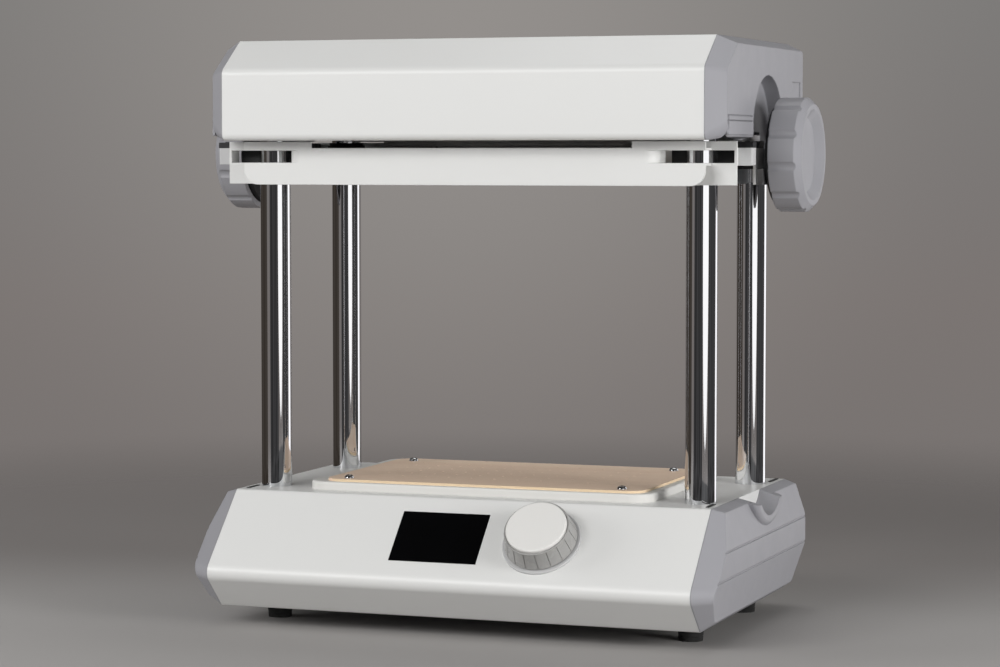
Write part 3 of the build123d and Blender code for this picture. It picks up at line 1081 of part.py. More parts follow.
def carriage_end(side):
    """Uprights at one end of the carriage: around the knob's shaft, and along its front and back edges."""
    t = TRAY_SHEET
    low = CARRIAGE_BOTTOM + LANDING_GAP
    end = side_slab(side, END_FLANGE_X - t, END_FLANGE_X, P - END_WALL_HALF, P + END_WALL_HALF, low, TOP_PLATE)
    for _, rank in RANKS:
        y0, y1 = sorted((P + rank * PLATE_SIDE_DEPTH, P + rank * (PLATE_SIDE_DEPTH - t)))
        end += side_slab(side, RETURN_X, END_FLANGE_X, y0, y1, low, LOW_PLATE - t)
        end += side_slab(side, RETURN_X, END_FLANGE_X, y0, y1, TOP_PLATE, STRIP_TOP)
        y0, y1 = sorted((P + rank * PLATE_SIDE_DEPTH, P + rank * CORNER_POST_DEPTH))
        end += side_slab(side, END_FLANGE_X - t, END_FLANGE_X, y0, y1, LOW_PLATE - t, TOP_PLATE)
    return end


def carriage_frame():
    t = TRAY_SHEET
    front, rear = P - APRON_HALF_DEPTH, P + APRON_HALF_DEPTH
    frame = plate_outline(LOW_PLATE - t, LOW_PLATE)
    frame -= slab(-APERTURE_X, APERTURE_X, P - APERTURE_Y, P + APERTURE_Y, LOW_PLATE - t - 1, LOW_PLATE + 1)
    ledge = plate_outline(TOP_PLATE - t, TOP_PLATE)
    ledge -= slab(-LEDGE_APERTURE_X, LEDGE_APERTURE_X, P - LEDGE_APERTURE_Y, P + LEDGE_APERTURE_Y,
                  TOP_PLATE - t - 1, TOP_PLATE + 1)
    frame += ledge
    # Lower apron with rounded ends, front and rear.
    apron_face = make_face(Polyline((-APRON_HALF_WIDTH, CARRIAGE_BOTTOM), (APRON_HALF_WIDTH, CARRIAGE_BOTTOM),
                                    (APRON_HALF_WIDTH, LOW_PLATE), (-APRON_HALF_WIDTH, LOW_PLATE), close=True))
    apron_face = fillet(apron_face.vertices().sort_by(Axis.Y)[:2], APRON_CORNER)
    frame += extrude(Plane.XZ.offset(-front) * apron_face, amount=-t)
    frame += extrude(Plane.XZ.offset(-rear) * apron_face, amount=t)
    # Full-height middle of the front apron; plain rear apron.
    frame += slab(-APRON_MIDDLE, APRON_MIDDLE, front, front + t, LOW_PLATE, TOP_PLATE)
    frame += slab(-APRON_HALF_WIDTH, APRON_HALF_WIDTH, rear - t, rear, LOW_PLATE, STRIP_TOP)
    for _, side in SIDES:
        frame += apron_bend(side) + carriage_end(side)
        frame += side_slab(side, SLOT_HALF_WIDTH, APRON_HALF_WIDTH, front, front + t, TOP_PLATE, STRIP_TOP)
        frame -= side_slab(side, CRANK_WELL_X, END_FLANGE_X - t, P - CRANK_WELL_HALF, P + CRANK_WELL_HALF,
                           LOW_PLATE - t - 1, TOP_PLATE + 1)
        frame -= rod_x(side * (END_FLANGE_X - t - 1), side * (END_FLANGE_X + 1), P, AXIS_Z, SHAFT_RADIUS + 0.5)
        for _, rank in RANKS:
            frame -= rod_z(side * POST_X, P + rank * POST_Y, LOW_PLATE - t - 1, TOP_PLATE + 1,
                           BUSHING_SPIGOT + FIT)
    return frame


def post_bushings():
    """Guides on each post: a flanged bush in either plate and the block between the plates."""
    bushings = []
    t, lip = TRAY_SHEET, BUSHING_FLANGE_HEIGHT
    for _, side in SIDES:
        for _, rank in RANKS:
            x, y = side * POST_X, P + rank * POST_Y
            lower = rod_z(x, y, LOW_PLATE - t - lip - BUSHING_TAIL, LOW_PLATE, BUSHING_SPIGOT)
            lower += rod_z(x, y, LOW_PLATE - t - lip, LOW_PLATE - t, BUSHING_FLANGE)
            upper = rod_z(x, y, TOP_PLATE - t, STRIP_TOP - 0.4, BUSHING_SPIGOT)
            upper += rod_z(x, y, TOP_PLATE, TOP_PLATE + lip, BUSHING_FLANGE)
            y0, y1 = sorted((P + rank * GUIDE_NEAR, P + rank * POST_Y))
            guide = side_slab(side, GUIDE_INNER_X, GUIDE_OUTER_X, y0, y1, LOW_PLATE, TOP_PLATE - t)
            bore = rod_z(x, y, CARRIAGE_BOTTOM - 1, STRIP_TOP + 5, POST_RADIUS + FIT)
            bushings += [lower - bore, upper - bore, guide - bore]
    return bushings


def bed_gasket():
    """Seal under the lower plate; it lands on the base around the plinth."""
    outer = RectangleRounded(2 * APERTURE_X + 16, 2 * APERTURE_Y + 10, 6)
    inner = RectangleRounded(2 * APERTURE_X, 2 * APERTURE_Y, 4)
    height = LOW_PLATE - TRAY_SHEET - CARRIAGE_BOTTOM
    return extrude(Pos(0, P, CARRIAGE_BOTTOM) * (outer - inner), amount=height)


def handle_brackets():
    brackets = []
    low = CARRIAGE_BOTTOM + LANDING_GAP
    for _, side in SIDES:
        bar = side_slab(side, END_FLANGE_X, BRACKET_X, P - BRACKET_HALF_DEPTH, P + BRACKET_HALF_DEPTH, low,
                        low + BRACKET_HEIGHT)
        bar = chamfer(bar.edges().filter_by(Axis.Z), 1.5)
        bar += side_slab(side, END_FLANGE_X, BRACKET_X, P - BOSS_RADIUS, P + BOSS_RADIUS, low + 2, AXIS_Z)
        bar += rod_x(side * END_FLANGE_X, side * BRACKET_X, P, AXIS_Z, BOSS_RADIUS)
        bar -= rod_x(side * (END_FLANGE_X - 1), side * (BRACKET_X + 1), P, AXIS_Z, SHAFT_RADIUS + FIT)
        brackets.append(bar)
    return brackets


def corner_spans():
    """Side and front-to-back span of the block and the keeper at each corner of the carriage."""
    return [(side, *sorted((P + rank * CORNER_POST_DEPTH, P + rank * STOP_BACK)))
            for _, side in SIDES for _, rank in RANKS]


def end_blocks():
    blocks = []
    for side, y0, y1 in corner_spans():
        block = side_slab(side, END_FLANGE_X, STOP_X, y0, y1, TOP_PLATE - STOP_HEIGHT, TOP_PLATE)
        outer = block.edges().filter_by(Axis.Z).sort_by(Axis.X)
        blocks.append(fillet(outer[-2:] if side > 0 else outer[:2], 1.8))
    return blocks


def keeper_plates():
    plates = []
    for side, y0, y1 in corner_spans():
        plate = side_slab(side, END_FLANGE_X - KEEPER_OVERLAP, STOP_X, y0, y1, TOP_PLATE,
                          TOP_PLATE + KEEPER_HEIGHT)
        plate += rod_z(side * (END_FLANGE_X + STOP_X) / 2, (y0 + y1) / 2, TOP_PLATE + KEEPER_HEIGHT,
                       TOP_PLATE + KEEPER_HEIGHT + 0.5, 2.2)
        plates.append(plate)
    return plates


def clamp_ring():
    ring = extrude(Pos(0, P, RING_LOW) * RectangleRounded(2 * RING_HALF_WIDTH, 2 * RING_HALF_DEPTH, 5),
                   amount=RING_THICKNESS)
    opening = RectangleRounded(2 * (RING_HALF_WIDTH - RING_BAR), 2 * (RING_HALF_DEPTH - RING_BAR), 4)
    ring -= extrude(Pos(0, P, RING_LOW - 1) * opening, amount=RING_THICKNESS + 2)
    for _, side in SIDES:
        ring += side_slab(side, RING_HALF_WIDTH - 2, YOKE_X + YOKE_THICKNESS, P - ARM_HALF_WIDTH,
                          P + ARM_HALF_WIDTH, RING_LOW, RING_LOW + RING_THICKNESS)
    return ring


def clamp_yokes():
    """Slotted plates under the ring's arms; the crank pins run in the slots."""
    yokes = []
    slot_z = AXIS_Z + PIN_RISE
    half = PIN_RADIUS + PIN_PLAY
    for _, side in SIDES:
        x0, x1 = YOKE_X, YOKE_X + YOKE_THICKNESS
        yoke = side_slab(side, x0, x1, P - ARM_HALF_WIDTH, P + ARM_HALF_WIDTH, slot_z - half - 2.8, RING_LOW)
        yoke -= side_slab(side, x0 - 1, x1 + 1, P - PIN_THROW - half, P + PIN_THROW + half, slot_z - half,
                          slot_z + half)
        yokes.append(yoke)
    return yokes


# ---- side knobs -----------------------------------------------------------------------
def crank_shaft(side):
    """Flanged knob shaft, and the crank web with its pin on the inner end."""
    web_end = WEB_X + WEB_THICKNESS
    shaft = rod_x(side * web_end, side * (KNOB_FACE_X - DISH_DEPTH - 2), P, AXIS_Z, SHAFT_RADIUS)
    disc = Pos(side * (DISC_X + KNOB_BACK_X) / 2, P, AXIS_Z) * Rot(0, side * 90, 0)
    shaft += disc * Cone(DISC_RADIUS - 1.0, DISC_RADIUS, KNOB_BACK_X - DISC_X)
    web = rod_x(side * WEB_X, side * web_end, P, AXIS_Z, WEB_RADIUS)
    offset_yz = PIN_THROW * math.sin(math.radians(45))
    web += rod_x(side * (YOKE_X - 0.6), side * WEB_X, P + offset_yz, AXIS_Z + offset_yz, PIN_RADIUS)
    return [shaft, web]


def side_knob(side):
    """Lobed knob with a dished face, hollow behind; its grip laps over the disc's edge."""
    depth = KNOB_DEPTH + GRIP_LAP
    start = -depth / 2
    knob = Cylinder(KNOB_RADIUS, depth)
    knob = chamfer(knob.edges().sort_by(Axis.Z)[-1], KNOB_BEVEL)
    groove = Pos(KNOB_RADIUS + LOBE_GROOVE_RADIUS - LOBE_GROOVE_DEPTH, 0, 0)
    for number in range(KNOB_LOBES):
        turn = LOBE_TURN + 360 / KNOB_LOBES * number
        knob -= Rot(0, 0, turn) * groove * Cylinder(LOBE_GROOVE_RADIUS, depth + 2)
    knob -= Pos(0, 0, (depth - DISH_DEPTH) / 2) * Cone(DISH_FLOOR_RADIUS, DISH_RADIUS, DISH_DEPTH)
    knob -= Pos(0, 0, start) * Cylinder(DISC_RADIUS + GRIP_PLAY, 2 * GRIP_LAP)
    knob -= Pos(0, 0, start) * Cylinder(DISC_RADIUS - DISC_SEAT, 2 * (depth - DISH_DEPTH - DISH_WALL))
    knob += Pos(0, 0, start + GRIP_LAP + KNOB_HUB_LENGTH / 2) * Cylinder(KNOB_HUB_RADIUS, KNOB_HUB_LENGTH)
    bore = depth - DISH_DEPTH - 2
    knob -= Pos(0, 0, start) * Cylinder(SHAFT_RADIUS + FIT, 2 * bore)
    place = Pos(side * (KNOB_FACE_X - depth / 2), P, AXIS_Z) * Rot(0, side * 90, 0)
    return place * knob


# ---- all nodes ------------------------------------------------------------------------
def build_all():
    os.makedirs("parts", exist_ok=True)
    save("base_cover", base_cover())
    save("base_pan", base_pan())
    save("rear_panel", rear_panel())
    save("rubber_feet", rubber_feet())
    save("foot_screws", foot_screws())
    save("cap_clips", cap_clips())
    save("base_post_blocks", base_post_blocks())
    save("post_grub_screws", post_grub_screws())
    save("bed_plinth", bed_plinth())
    save("platen_board", platen_board())
    save("platen_screws", platen_screws())
    save("suction_spout", suction_spout())
    save("vacuum_hose", vacuum_hose())
    save("vacuum_motor_can", vacuum_motor_can())
    save("vacuum_impeller", vacuum_impeller())
    save("motor_cradle", motor_cradle())
    save("control_board", control_board())
    save("display_module", display_module())
    save("display_window", display_window())
    save("encoder_body", encoder_body())
    save("encoder_rotor", encoder_rotor())
    save("encoder_shaft", encoder_shaft())
    save("dial_seat", dial_seat())
    save("dial_ring", dial_ring())
    save("dial_cap", dial_cap())
    save("power_supply", power_supply())
    save("power_inlet", power_inlet())
    save("switch_frame", switch_frame())
    save("power_rocker", power_rocker())
    save("fan_frame", fan_frame())
    save("fan_rotor", fan_rotor())
    save("head_cover", head_cover())
    save("heat_reflector", heat_reflector())
    save("insulation_mat", insulation_mat())
    save("heater_rods", heater_rods())
    save("heater_holders", heater_holders())
    save("catch_bar", catch_bar())
    save("post_top_bolts", post_top_bolts())
    save("carriage_frame", carriage_frame())
    save("post_bushings", post_bushings())
    save("bed_gasket", bed_gasket())
    save("handle_brackets", handle_brackets())
    save("end_blocks", end_blocks())
    save("keeper_plates", keeper_plates())
    save("clamp_ring", clamp_ring())
    save("clamp_yokes", clamp_yokes())
    base_cap, head_cap = base_end_cap(), head_end_cap()
    for name, side in SIDES:
        save(f"base_end_cap_{name}", mirrored(base_cap, side))
        save(f"head_end_cap_{name}", mirrored(head_cap, side))
        save(f"head_post_block_{name}", head_post_block(side))
        save(f"knob_{name}", side_knob(side))
        save(f"crank_shaft_{name}", crank_shaft(side))
        for rank_name, rank in RANKS:
            save(f"post_{rank_name}_{name}", post(side, rank))


build_all()
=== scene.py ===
"""Desktop vacuum former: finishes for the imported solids, then the studio and the camera."""

import json
import logging
import math
from dataclasses import dataclass
from enum import Enum, IntEnum

import bpy
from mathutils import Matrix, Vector

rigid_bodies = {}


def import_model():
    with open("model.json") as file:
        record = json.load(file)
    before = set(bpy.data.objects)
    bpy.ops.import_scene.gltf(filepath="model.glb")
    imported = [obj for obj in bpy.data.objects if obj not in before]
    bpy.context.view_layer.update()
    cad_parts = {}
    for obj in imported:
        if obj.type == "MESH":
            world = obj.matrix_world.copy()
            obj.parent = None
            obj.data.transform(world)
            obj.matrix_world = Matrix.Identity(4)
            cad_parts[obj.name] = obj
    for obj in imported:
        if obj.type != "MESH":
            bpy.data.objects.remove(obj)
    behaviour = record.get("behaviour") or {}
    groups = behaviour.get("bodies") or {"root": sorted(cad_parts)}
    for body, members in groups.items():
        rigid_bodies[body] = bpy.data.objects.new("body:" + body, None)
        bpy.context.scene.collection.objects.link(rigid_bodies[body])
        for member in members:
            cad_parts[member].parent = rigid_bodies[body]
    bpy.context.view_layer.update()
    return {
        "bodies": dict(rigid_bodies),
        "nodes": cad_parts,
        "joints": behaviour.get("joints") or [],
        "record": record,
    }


LOG = logging.getLogger("vacuum_former")
MM = 0.001

Colour = tuple[float, float, float]
Place = tuple[float, float, float]
Socket = bpy.types.NodeSocket
Value = Socket | float | Colour


class Grain(Enum):
    """Directions that a drawn, turned or sawn surface can run in."""

    ACROSS = (0.02, 1.0, 1.0)
    UPRIGHT = (1.0, 1.0, 0.02)
    EVEN = (1.0, 1.0, 1.0)


class Axis(IntEnum):
    """The numbers of a vector."""

    X = 0
    Y = 1
    Z = 2


class MixSocket(IntEnum):
    """Where a mix node keeps its sockets for colours."""

    FACTOR = 0
    FIRST = 6
    SECOND = 7
    RESULT = 2


class Curve(Enum):
    """Ways to go from one end of a range to the other."""

    STRAIGHT = "LINEAR"
    SMOOTH = "SMOOTHSTEP"


class Operation(Enum):
    """Sums that a math node can do."""

    ADD = "ADD"
    MULTIPLY = "MULTIPLY"
    ABSOLUTE = "ABSOLUTE"
    SINE = "SINE"
    MAXIMUM = "MAXIMUM"
    ABOVE = "GREATER_THAN"
    BELOW = "LESS_THAN"


class Measure(Enum):
    """Numbers that can be taken from one or two vectors."""

    LENGTH = "LENGTH"
    DISTANCE = "DISTANCE"
    ALONG = "DOT_PRODUCT"


class Outline(Enum):
    """Shapes that the front of a soft box can have."""

    RECTANGLE = "RECTANGLE"
    ELLIPSE = "ELLIPSE"


@dataclass(frozen=True)
class Pattern:
    """A noise pattern: rough size of a spot in metres, octaves of finer noise, and its grain."""

    size: float
    detail: float = 3.0
    grain: Grain = Grain.EVEN


def darker(colour: Colour, share: float) -> Colour:
    """Scale a colour down to a share of its brightness."""
    return tuple(channel * share for channel in colour)


class Nodes:
    """Writes nodes into one tree, each joined to the ones before it."""

    noise_low = 0.3
    noise_high = 0.7
    edge_samples = 4

    def __init__(self, tree: bpy.types.NodeTree, coordinates: str) -> None:
        """Take a tree to write into.

        Args:
            tree: The tree of a material or a world.
            coordinates: Name of the coordinates that its patterns lie in.
        """
        self.tree = tree
        self.coordinates = self.add("TexCoord").outputs[coordinates]

    def add(self, kind: str) -> bpy.types.Node:
        """Add a shader node, by the end of its type's name."""
        return self.tree.nodes.new(f"ShaderNode{kind}")

    def feed(self, target: Socket, value: Value) -> None:
        """Give a socket a number, a vector, a colour or what another socket holds.

        Args:
            target: The input socket.
            value: What it gets.
        """
        if isinstance(value, Socket):
            self.tree.links.new(value, target)
        elif target.type == "RGBA":
            target.default_value = (*value, 1.0)
        else:
            target.default_value = value

    def noise(self, pattern: Pattern) -> Socket:
        """Add a noise pattern.

        Args:
            pattern: Its size, detail and grain.

        Returns:
            The noise value's socket.
        """
        mapping = self.add("Mapping")
        self.feed(mapping.inputs["Scale"], pattern.grain.value)
        self.feed(mapping.inputs["Vector"], self.coordinates)
        texture = self.add("TexNoise")
        self.feed(texture.inputs["Scale"], 1.0 / pattern.size)
        self.feed(texture.inputs["Detail"], pattern.detail)
        self.feed(texture.inputs["Vector"], mapping.outputs["Vector"])
        return texture.outputs["Fac"]

    def mapped(self, value: Socket, start: float, end: float, low: float = 0.0, high: float = 1.0,
               curve: Curve = Curve.STRAIGHT) -> Socket:
        """Map one range to another.

        Args:
            value: Socket with the value.
            start: Value that gives the low result.
            end: Value that gives the high result.
            low: Result up to the start.
            high: Result from the end on.
            curve: Way to go from low to high.

        Returns:
            The mapped value's socket.
        """
        mapping = self.add("MapRange")
        mapping.interpolation_type = curve.value
        limits = {"From Min": start, "From Max": end, "To Min": low, "To Max": high}
        for name, limit in limits.items():
            self.feed(mapping.inputs[name], limit)
        self.feed(mapping.inputs["Value"], value)
        return mapping.outputs["Result"]

    def spread(self, value: Socket, low: float, high: float) -> Socket:
        """Map the middle of a noise pattern to a range.

        Args:
            value: Noise value.
            low: Result where the noise is low.
            high: Result where the noise is high.

        Returns:
            The mapped value's socket.
        """
        return self.mapped(value, self.noise_low, self.noise_high, low, high)

    def blend(self, factor: Socket, first: Value, second: Value) -> Socket:
        """Mix two colours.

        Args:
            factor: Share of the second colour.
            first: Colour, or socket, at factor 0.
            second: Colour, or socket, at factor 1.

        Returns:
            The mixed colour's socket.
        """
        mix = self.add("Mix")
        mix.data_type = "RGBA"
        self.feed(mix.inputs[MixSocket.FACTOR], factor)
        self.feed(mix.inputs[MixSocket.FIRST], first)
        self.feed(mix.inputs[MixSocket.SECOND], second)
        return mix.outputs[MixSocket.RESULT]

    def choose(self, factor: Socket, first: Socket, second: Socket) -> Socket:
        """Mix two shaders.

        Args:
            factor: Share of the second shader.
            first: Shader at factor 0.
            second: Shader at factor 1.

        Returns:
            The mixed shader's socket.
        """
        mix = self.add("MixShader")
        for target, value in zip(mix.inputs, (factor, first, second)):
            self.feed(target, value)
        return mix.outputs["Shader"]

    def compute(self, operation: Operation, first: Value, second: Value = 0.0) -> Socket:
        """Do a sum with one or two numbers.

        Args:
            operation: The sum.
            first: First number or socket.
            second: Second number or socket, where the sum has one.

        Returns:
            The result's socket.
        """
        node = self.add("Math")
        node.operation = operation.value
        for target, value in zip(node.inputs, (first, second)):
            self.feed(target, value)
        return node.outputs["Value"]

    def measure(self, kind: Measure, first: Socket, second: Place = (0.0, 0.0, 0.0)) -> Socket:
        """Take a number from one or two vectors.

        Args:
            kind: The number wanted.
            first: Socket with the first vector.
            second: Second vector, where there is one.

        Returns:
            The number's socket.
        """
        node = self.add("VectorMath")
        node.operation = kind.value
        for target, value in zip(node.inputs, (first, second)):
            self.feed(target, value)
        return node.outputs["Value"]

    def part_of(self, vector: Socket, axis: Axis) -> Socket:
        """Take one number out of a vector.

        Args:
            vector: Socket with the vector.
            axis: The number wanted.

        Returns:
            That number's socket.
        """
        split = self.add("SeparateXYZ")
        self.feed(split.inputs["Vector"], vector)
        return split.outputs[axis]

    def eased_edges(self, radius: float) -> Socket:
        """Round the shading of sharp edges.

        Args:
            radius: Radius of the edge, in metres.

        Returns:
            The normal's socket.
        """
        bevel = self.add("Bevel")
        bevel.samples = self.edge_samples
        self.feed(bevel.inputs["Radius"], radius)
        return bevel.outputs["Normal"]

    def bump(self, height: Socket, depth: float, strength: float = 1.0,
             under: Socket | None = None) -> Socket:
        """Turn a height pattern into surface relief.

        Args:
            height: Socket with the pattern.
            depth: Height of the relief, in metres.
            strength: Share of the relief that shows.
            under: Normal of a coarser relief below this one.

        Returns:
            The normal's socket.
        """
        relief = self.add("Bump")
        self.feed(relief.inputs["Distance"], depth)
        self.feed(relief.inputs["Strength"], strength)
        self.feed(relief.inputs["Height"], height)
        if under is not None:
            self.feed(relief.inputs["Normal"], under)
        return relief.outputs["Normal"]


class Graph(Nodes):
    """The nodes of one material, whose surface is a Principled shader."""

    def __init__(self, name: str) -> None:
        """Start an empty material.

        Args:
            name: Name of the finish, used for the material too.
        """
        self.material = bpy.data.materials.new(name)
        self.material.use_nodes = True
        self.material.node_tree.nodes.clear()
        super().__init__(self.material.node_tree, "Object")
        self.shader = self.add("BsdfPrincipled")
        self.output = self.add("OutputMaterial")
        self.feed(self.output.inputs["Surface"], self.shader.outputs["BSDF"])

    def set(self, name: str, value: Value) -> None:
        """Give one of the surface's own sockets a value or a pattern."""
        self.feed(self.shader.inputs[name], value)


@dataclass(frozen=True)
class Coating:
    """What plain finishes have in common: a clouded colour, uneven gloss, fine relief and eased edges.

    The colour goes down to its shade where the clouds are thick, and the roughness goes from smoother to
    rougher with the wear. The texture is relief of the depth given. An edge of 0 leaves sharp edges alone.
    The levels are other sockets of the surface, with their values.
    """

    name: str
    colour: Colour
    roughness: float = 0.4
    edge: float = 0.5 * MM
    shade: float = 0.95
    clouds: Pattern = Pattern(60 * MM)
    wear: Pattern = Pattern(20 * MM, 5.0)
    smoother: float = 0.04
    rougher: float = 0.06
    texture: Pattern = Pattern(0.5 * MM)
    depth: float = 0.02 * MM
    strength: float = 1.0
    levels: tuple[tuple[str, float], ...] = ()

    def build(self) -> bpy.types.Material:
        """Write the finish's nodes.

        Returns:
            The finish's material.
        """
        graph = Graph(self.name)
        clouds = graph.noise(self.clouds)
        graph.set("Base Color", graph.blend(clouds, self.colour, darker(self.colour, self.shade)))
        low, high = self.roughness - self.smoother, self.roughness + self.rougher
        graph.set("Roughness", graph.spread(graph.noise(self.wear), low, high))
        edges = graph.eased_edges(self.edge) if self.edge else None
        graph.set("Normal", graph.bump(graph.noise(self.texture), self.depth, self.strength, edges))
        for name, level in self.levels:
            graph.set(name, level)
        return graph.material


@dataclass(frozen=True)
class PaintedSheet(Coating):
    """Powder-coated sheet steel: fine orange peel and faint handling marks."""

    roughness: float = 0.38
    shade: float = 0.975
    clouds: Pattern = Pattern(120 * MM, 4.0)
    wear: Pattern = Pattern(35 * MM, 6.0)
    smoother: float = 0.035
    rougher: float = 0.045
    texture: Pattern = Pattern(1.6 * MM, 2.0)
    depth: float = 0.035 * MM
    strength: float = 0.6
    levels: tuple[tuple[str, float], ...] = (
        ("Specular IOR Level", 0.5), ("Coat Weight", 0.12), ("Coat Roughness", 0.2),
    )


@dataclass(frozen=True)
class MouldedPlastic(Coating):
    """Injection-moulded plastic with a spark-eroded texture and softened edges."""

    roughness: float = 0.46
    edge: float = 0.7 * MM
    texture: Pattern = Pattern(0.35 * MM, 2.0)
    strength: float = 0.8
    levels: tuple[tuple[str, float], ...] = (("Specular IOR Level", 0.45),)


@dataclass(frozen=True)
class PolishedChrome(Coating):
    """Hard chrome on ground rod: mirror bright, with faint grinding lines and smears."""

    colour: Colour = (0.83, 0.84, 0.86)
    roughness: float = 0.018
    edge: float = 0.0
    shade: float = 0.93
    clouds: Pattern = Pattern(50 * MM)
    wear: Pattern = Pattern(30 * MM, 6.0)
    smoother: float = 0.0
    rougher: float = 0.03
    texture: Pattern = Pattern(0.25 * MM, 2.0, Grain.UPRIGHT)
    depth: float = 0.002 * MM
    strength: float = 0.12
    levels: tuple[tuple[str, float], ...] = (("Metallic", 1.0),)


@dataclass(frozen=True)
class DrawnMetal(Coating):
    """Brushed or rolled metal with lines along one direction."""

    roughness: float = 0.34
    edge: float = 0.3 * MM
    shade: float = 0.8
    clouds: Pattern = Pattern(0.5 * MM, 4.0, Grain.ACROSS)
    wear: Pattern = Pattern(15 * MM, 5.0, Grain.ACROSS)
    smoother: float = 0.07
    rougher: float = 0.09
    texture: Pattern = Pattern(0.5 * MM, 4.0, Grain.ACROSS)
    depth: float = 0.012 * MM
    strength: float = 0.7
    levels: tuple[tuple[str, float], ...] = (("Metallic", 1.0),)


@dataclass(frozen=True)
class SpangledZinc(DrawnMetal):
    """Galvanised sheet, whose zinc has grown in flakes."""

    roughness: float = 0.4
    clouds: Pattern = Pattern(4 * MM, 4.0)
    wear: Pattern = Pattern(15 * MM, 5.0)
    texture: Pattern = Pattern(4 * MM, 4.0)


@dataclass(frozen=True)
class BirchPly:
    """Birch plywood: wavy pale figure on the face, glued layers on the cut edges.

    The glue line is the share of a wave's height below which glue shows. The hole field is half the width
    and half the depth of the stretch that has the air holes, in metres.
    """

    name: str
    pale: Colour = (0.90, 0.71, 0.545)
    dark: Colour = (0.81, 0.60, 0.452)
    cut: Colour = (0.95, 0.76, 0.52)
    glue: Colour = (0.42, 0.28, 0.17)
    figure: Pattern = Pattern(38 * MM, 4.0, Grain.ACROSS)
    figure_share: float = 0.85
    fibres: Pattern = Pattern(0.8 * MM, 3.0, Grain.ACROSS)
    fibre_share: float = 0.28
    fibre_shade: float = 0.9
    fibre_depth: float = 0.03 * MM
    fibre_strength: float = 0.6
    layer: float = 0.67 * MM
    glue_line: float = 0.4
    hole_field: tuple[float, float] = (0.130, 0.070)
    level_from: float = 0.5
    smooth: float = 0.48
    rough: float = 0.6
    specular: float = 0.35
    edge: float = 0.3 * MM

    def build(self) -> bpy.types.Material:
        """Write the finish's nodes.

        Returns:
            The finish's material.
        """
        graph = Graph(self.name)
        figure = graph.noise(self.figure)
        fibres = graph.noise(self.fibres)
        face = graph.blend(graph.spread(figure, 0.0, self.figure_share), self.pale, self.dark)
        streaks = graph.spread(fibres, 0.0, self.fibre_share)
        face = graph.blend(streaks, face, darker(self.dark, self.fibre_shade))
        facing = graph.add("NewGeometry").outputs["Normal"]
        upward = graph.compute(Operation.ABSOLUTE, graph.part_of(facing, Axis.Z))
        flat = graph.compute(Operation.ABOVE, upward, self.level_from)
        graph.set("Base Color", graph.blend(flat, self.cut_edge(graph), face))
        graph.set("Roughness", graph.spread(figure, self.smooth, self.rough))
        graph.set("Specular IOR Level", self.specular)
        edges = graph.eased_edges(self.edge)
        graph.set("Normal", graph.bump(fibres, self.fibre_depth, self.fibre_strength, edges))
        return graph.material

    def cut_edge(self, graph: Graph) -> Socket:
        """Colour the layers and glue lines of the outer edge, and the darker walls of the air holes.

        Args:
            graph: Nodes of the finish.

        Returns:
            The colour's socket.
        """
        height = graph.part_of(graph.coordinates, Axis.Z)
        turns = graph.compute(Operation.MULTIPLY, height, math.pi / self.layer)
        layers = graph.compute(Operation.ABSOLUTE, graph.compute(Operation.SINE, turns))
        wood = graph.compute(Operation.ABOVE, layers, self.glue_line)
        near = []
        for axis, limit in zip((Axis.X, Axis.Y), self.hole_field):
            reach = graph.compute(Operation.ABSOLUTE, graph.part_of(graph.coordinates, axis))
            near.append(graph.compute(Operation.BELOW, reach, limit))
        inside = graph.compute(Operation.MULTIPLY, *near)
        return graph.blend(inside, graph.blend(wood, self.glue, self.cut), self.dark)


@dataclass(frozen=True)
class DarkGlass:
    """Display window: near-black gloss over a slightly lighter picture area."""

    name: str
    colour: Colour = (0.0016, 0.0016, 0.0018)
    picture: Colour = (0.0024, 0.0024, 0.0028)
    patches: Pattern = Pattern(30 * MM, 2.0)
    smears: Pattern = Pattern(20 * MM, 6.0)
    clean: float = 0.05
    smeared: float = 0.09
    specular: float = 0.22
    edge: float = 0.2 * MM

    def build(self) -> bpy.types.Material:
        """Write the finish's nodes.

        Returns:
            The finish's material.
        """
        graph = Graph(self.name)
        graph.set("Base Color", graph.blend(graph.noise(self.patches), self.colour, self.picture))
        graph.set("Roughness", graph.spread(graph.noise(self.smears), self.clean, self.smeared))
        graph.set("Specular IOR Level", self.specular)
        graph.set("Normal", graph.eased_edges(self.edge))
        return graph.material


@dataclass(frozen=True)
class SoftRubber:
    """Moulded rubber or silicone with a dull, dusty bloom."""

    name: str
    colour: Colour
    bloom: Colour
    roughness: float = 0.7
    dust: Pattern = Pattern(12 * MM, 6.0)
    dust_share: float = 0.5
    wear: Pattern = Pattern(4 * MM, 4.0)
    smoother: float = 0.08
    rougher: float = 0.1
    texture: Pattern = Pattern(0.5 * MM)
    depth: float = 0.05 * MM
    strength: float = 0.7
    edge: float = 0.5 * MM

    def build(self) -> bpy.types.Material:
        """Write the finish's nodes.

        Returns:
            The finish's material.
        """
        graph = Graph(self.name)
        dust = graph.spread(graph.noise(self.dust), 0.0, self.dust_share)
        graph.set("Base Color", graph.blend(dust, self.colour, self.bloom))
        low, high = self.roughness - self.smoother, self.roughness + self.rougher
        graph.set("Roughness", graph.spread(graph.noise(self.wear), low, high))
        edges = graph.eased_edges(self.edge)
        graph.set("Normal", graph.bump(graph.noise(self.texture), self.depth, self.strength, edges))
        return graph.material


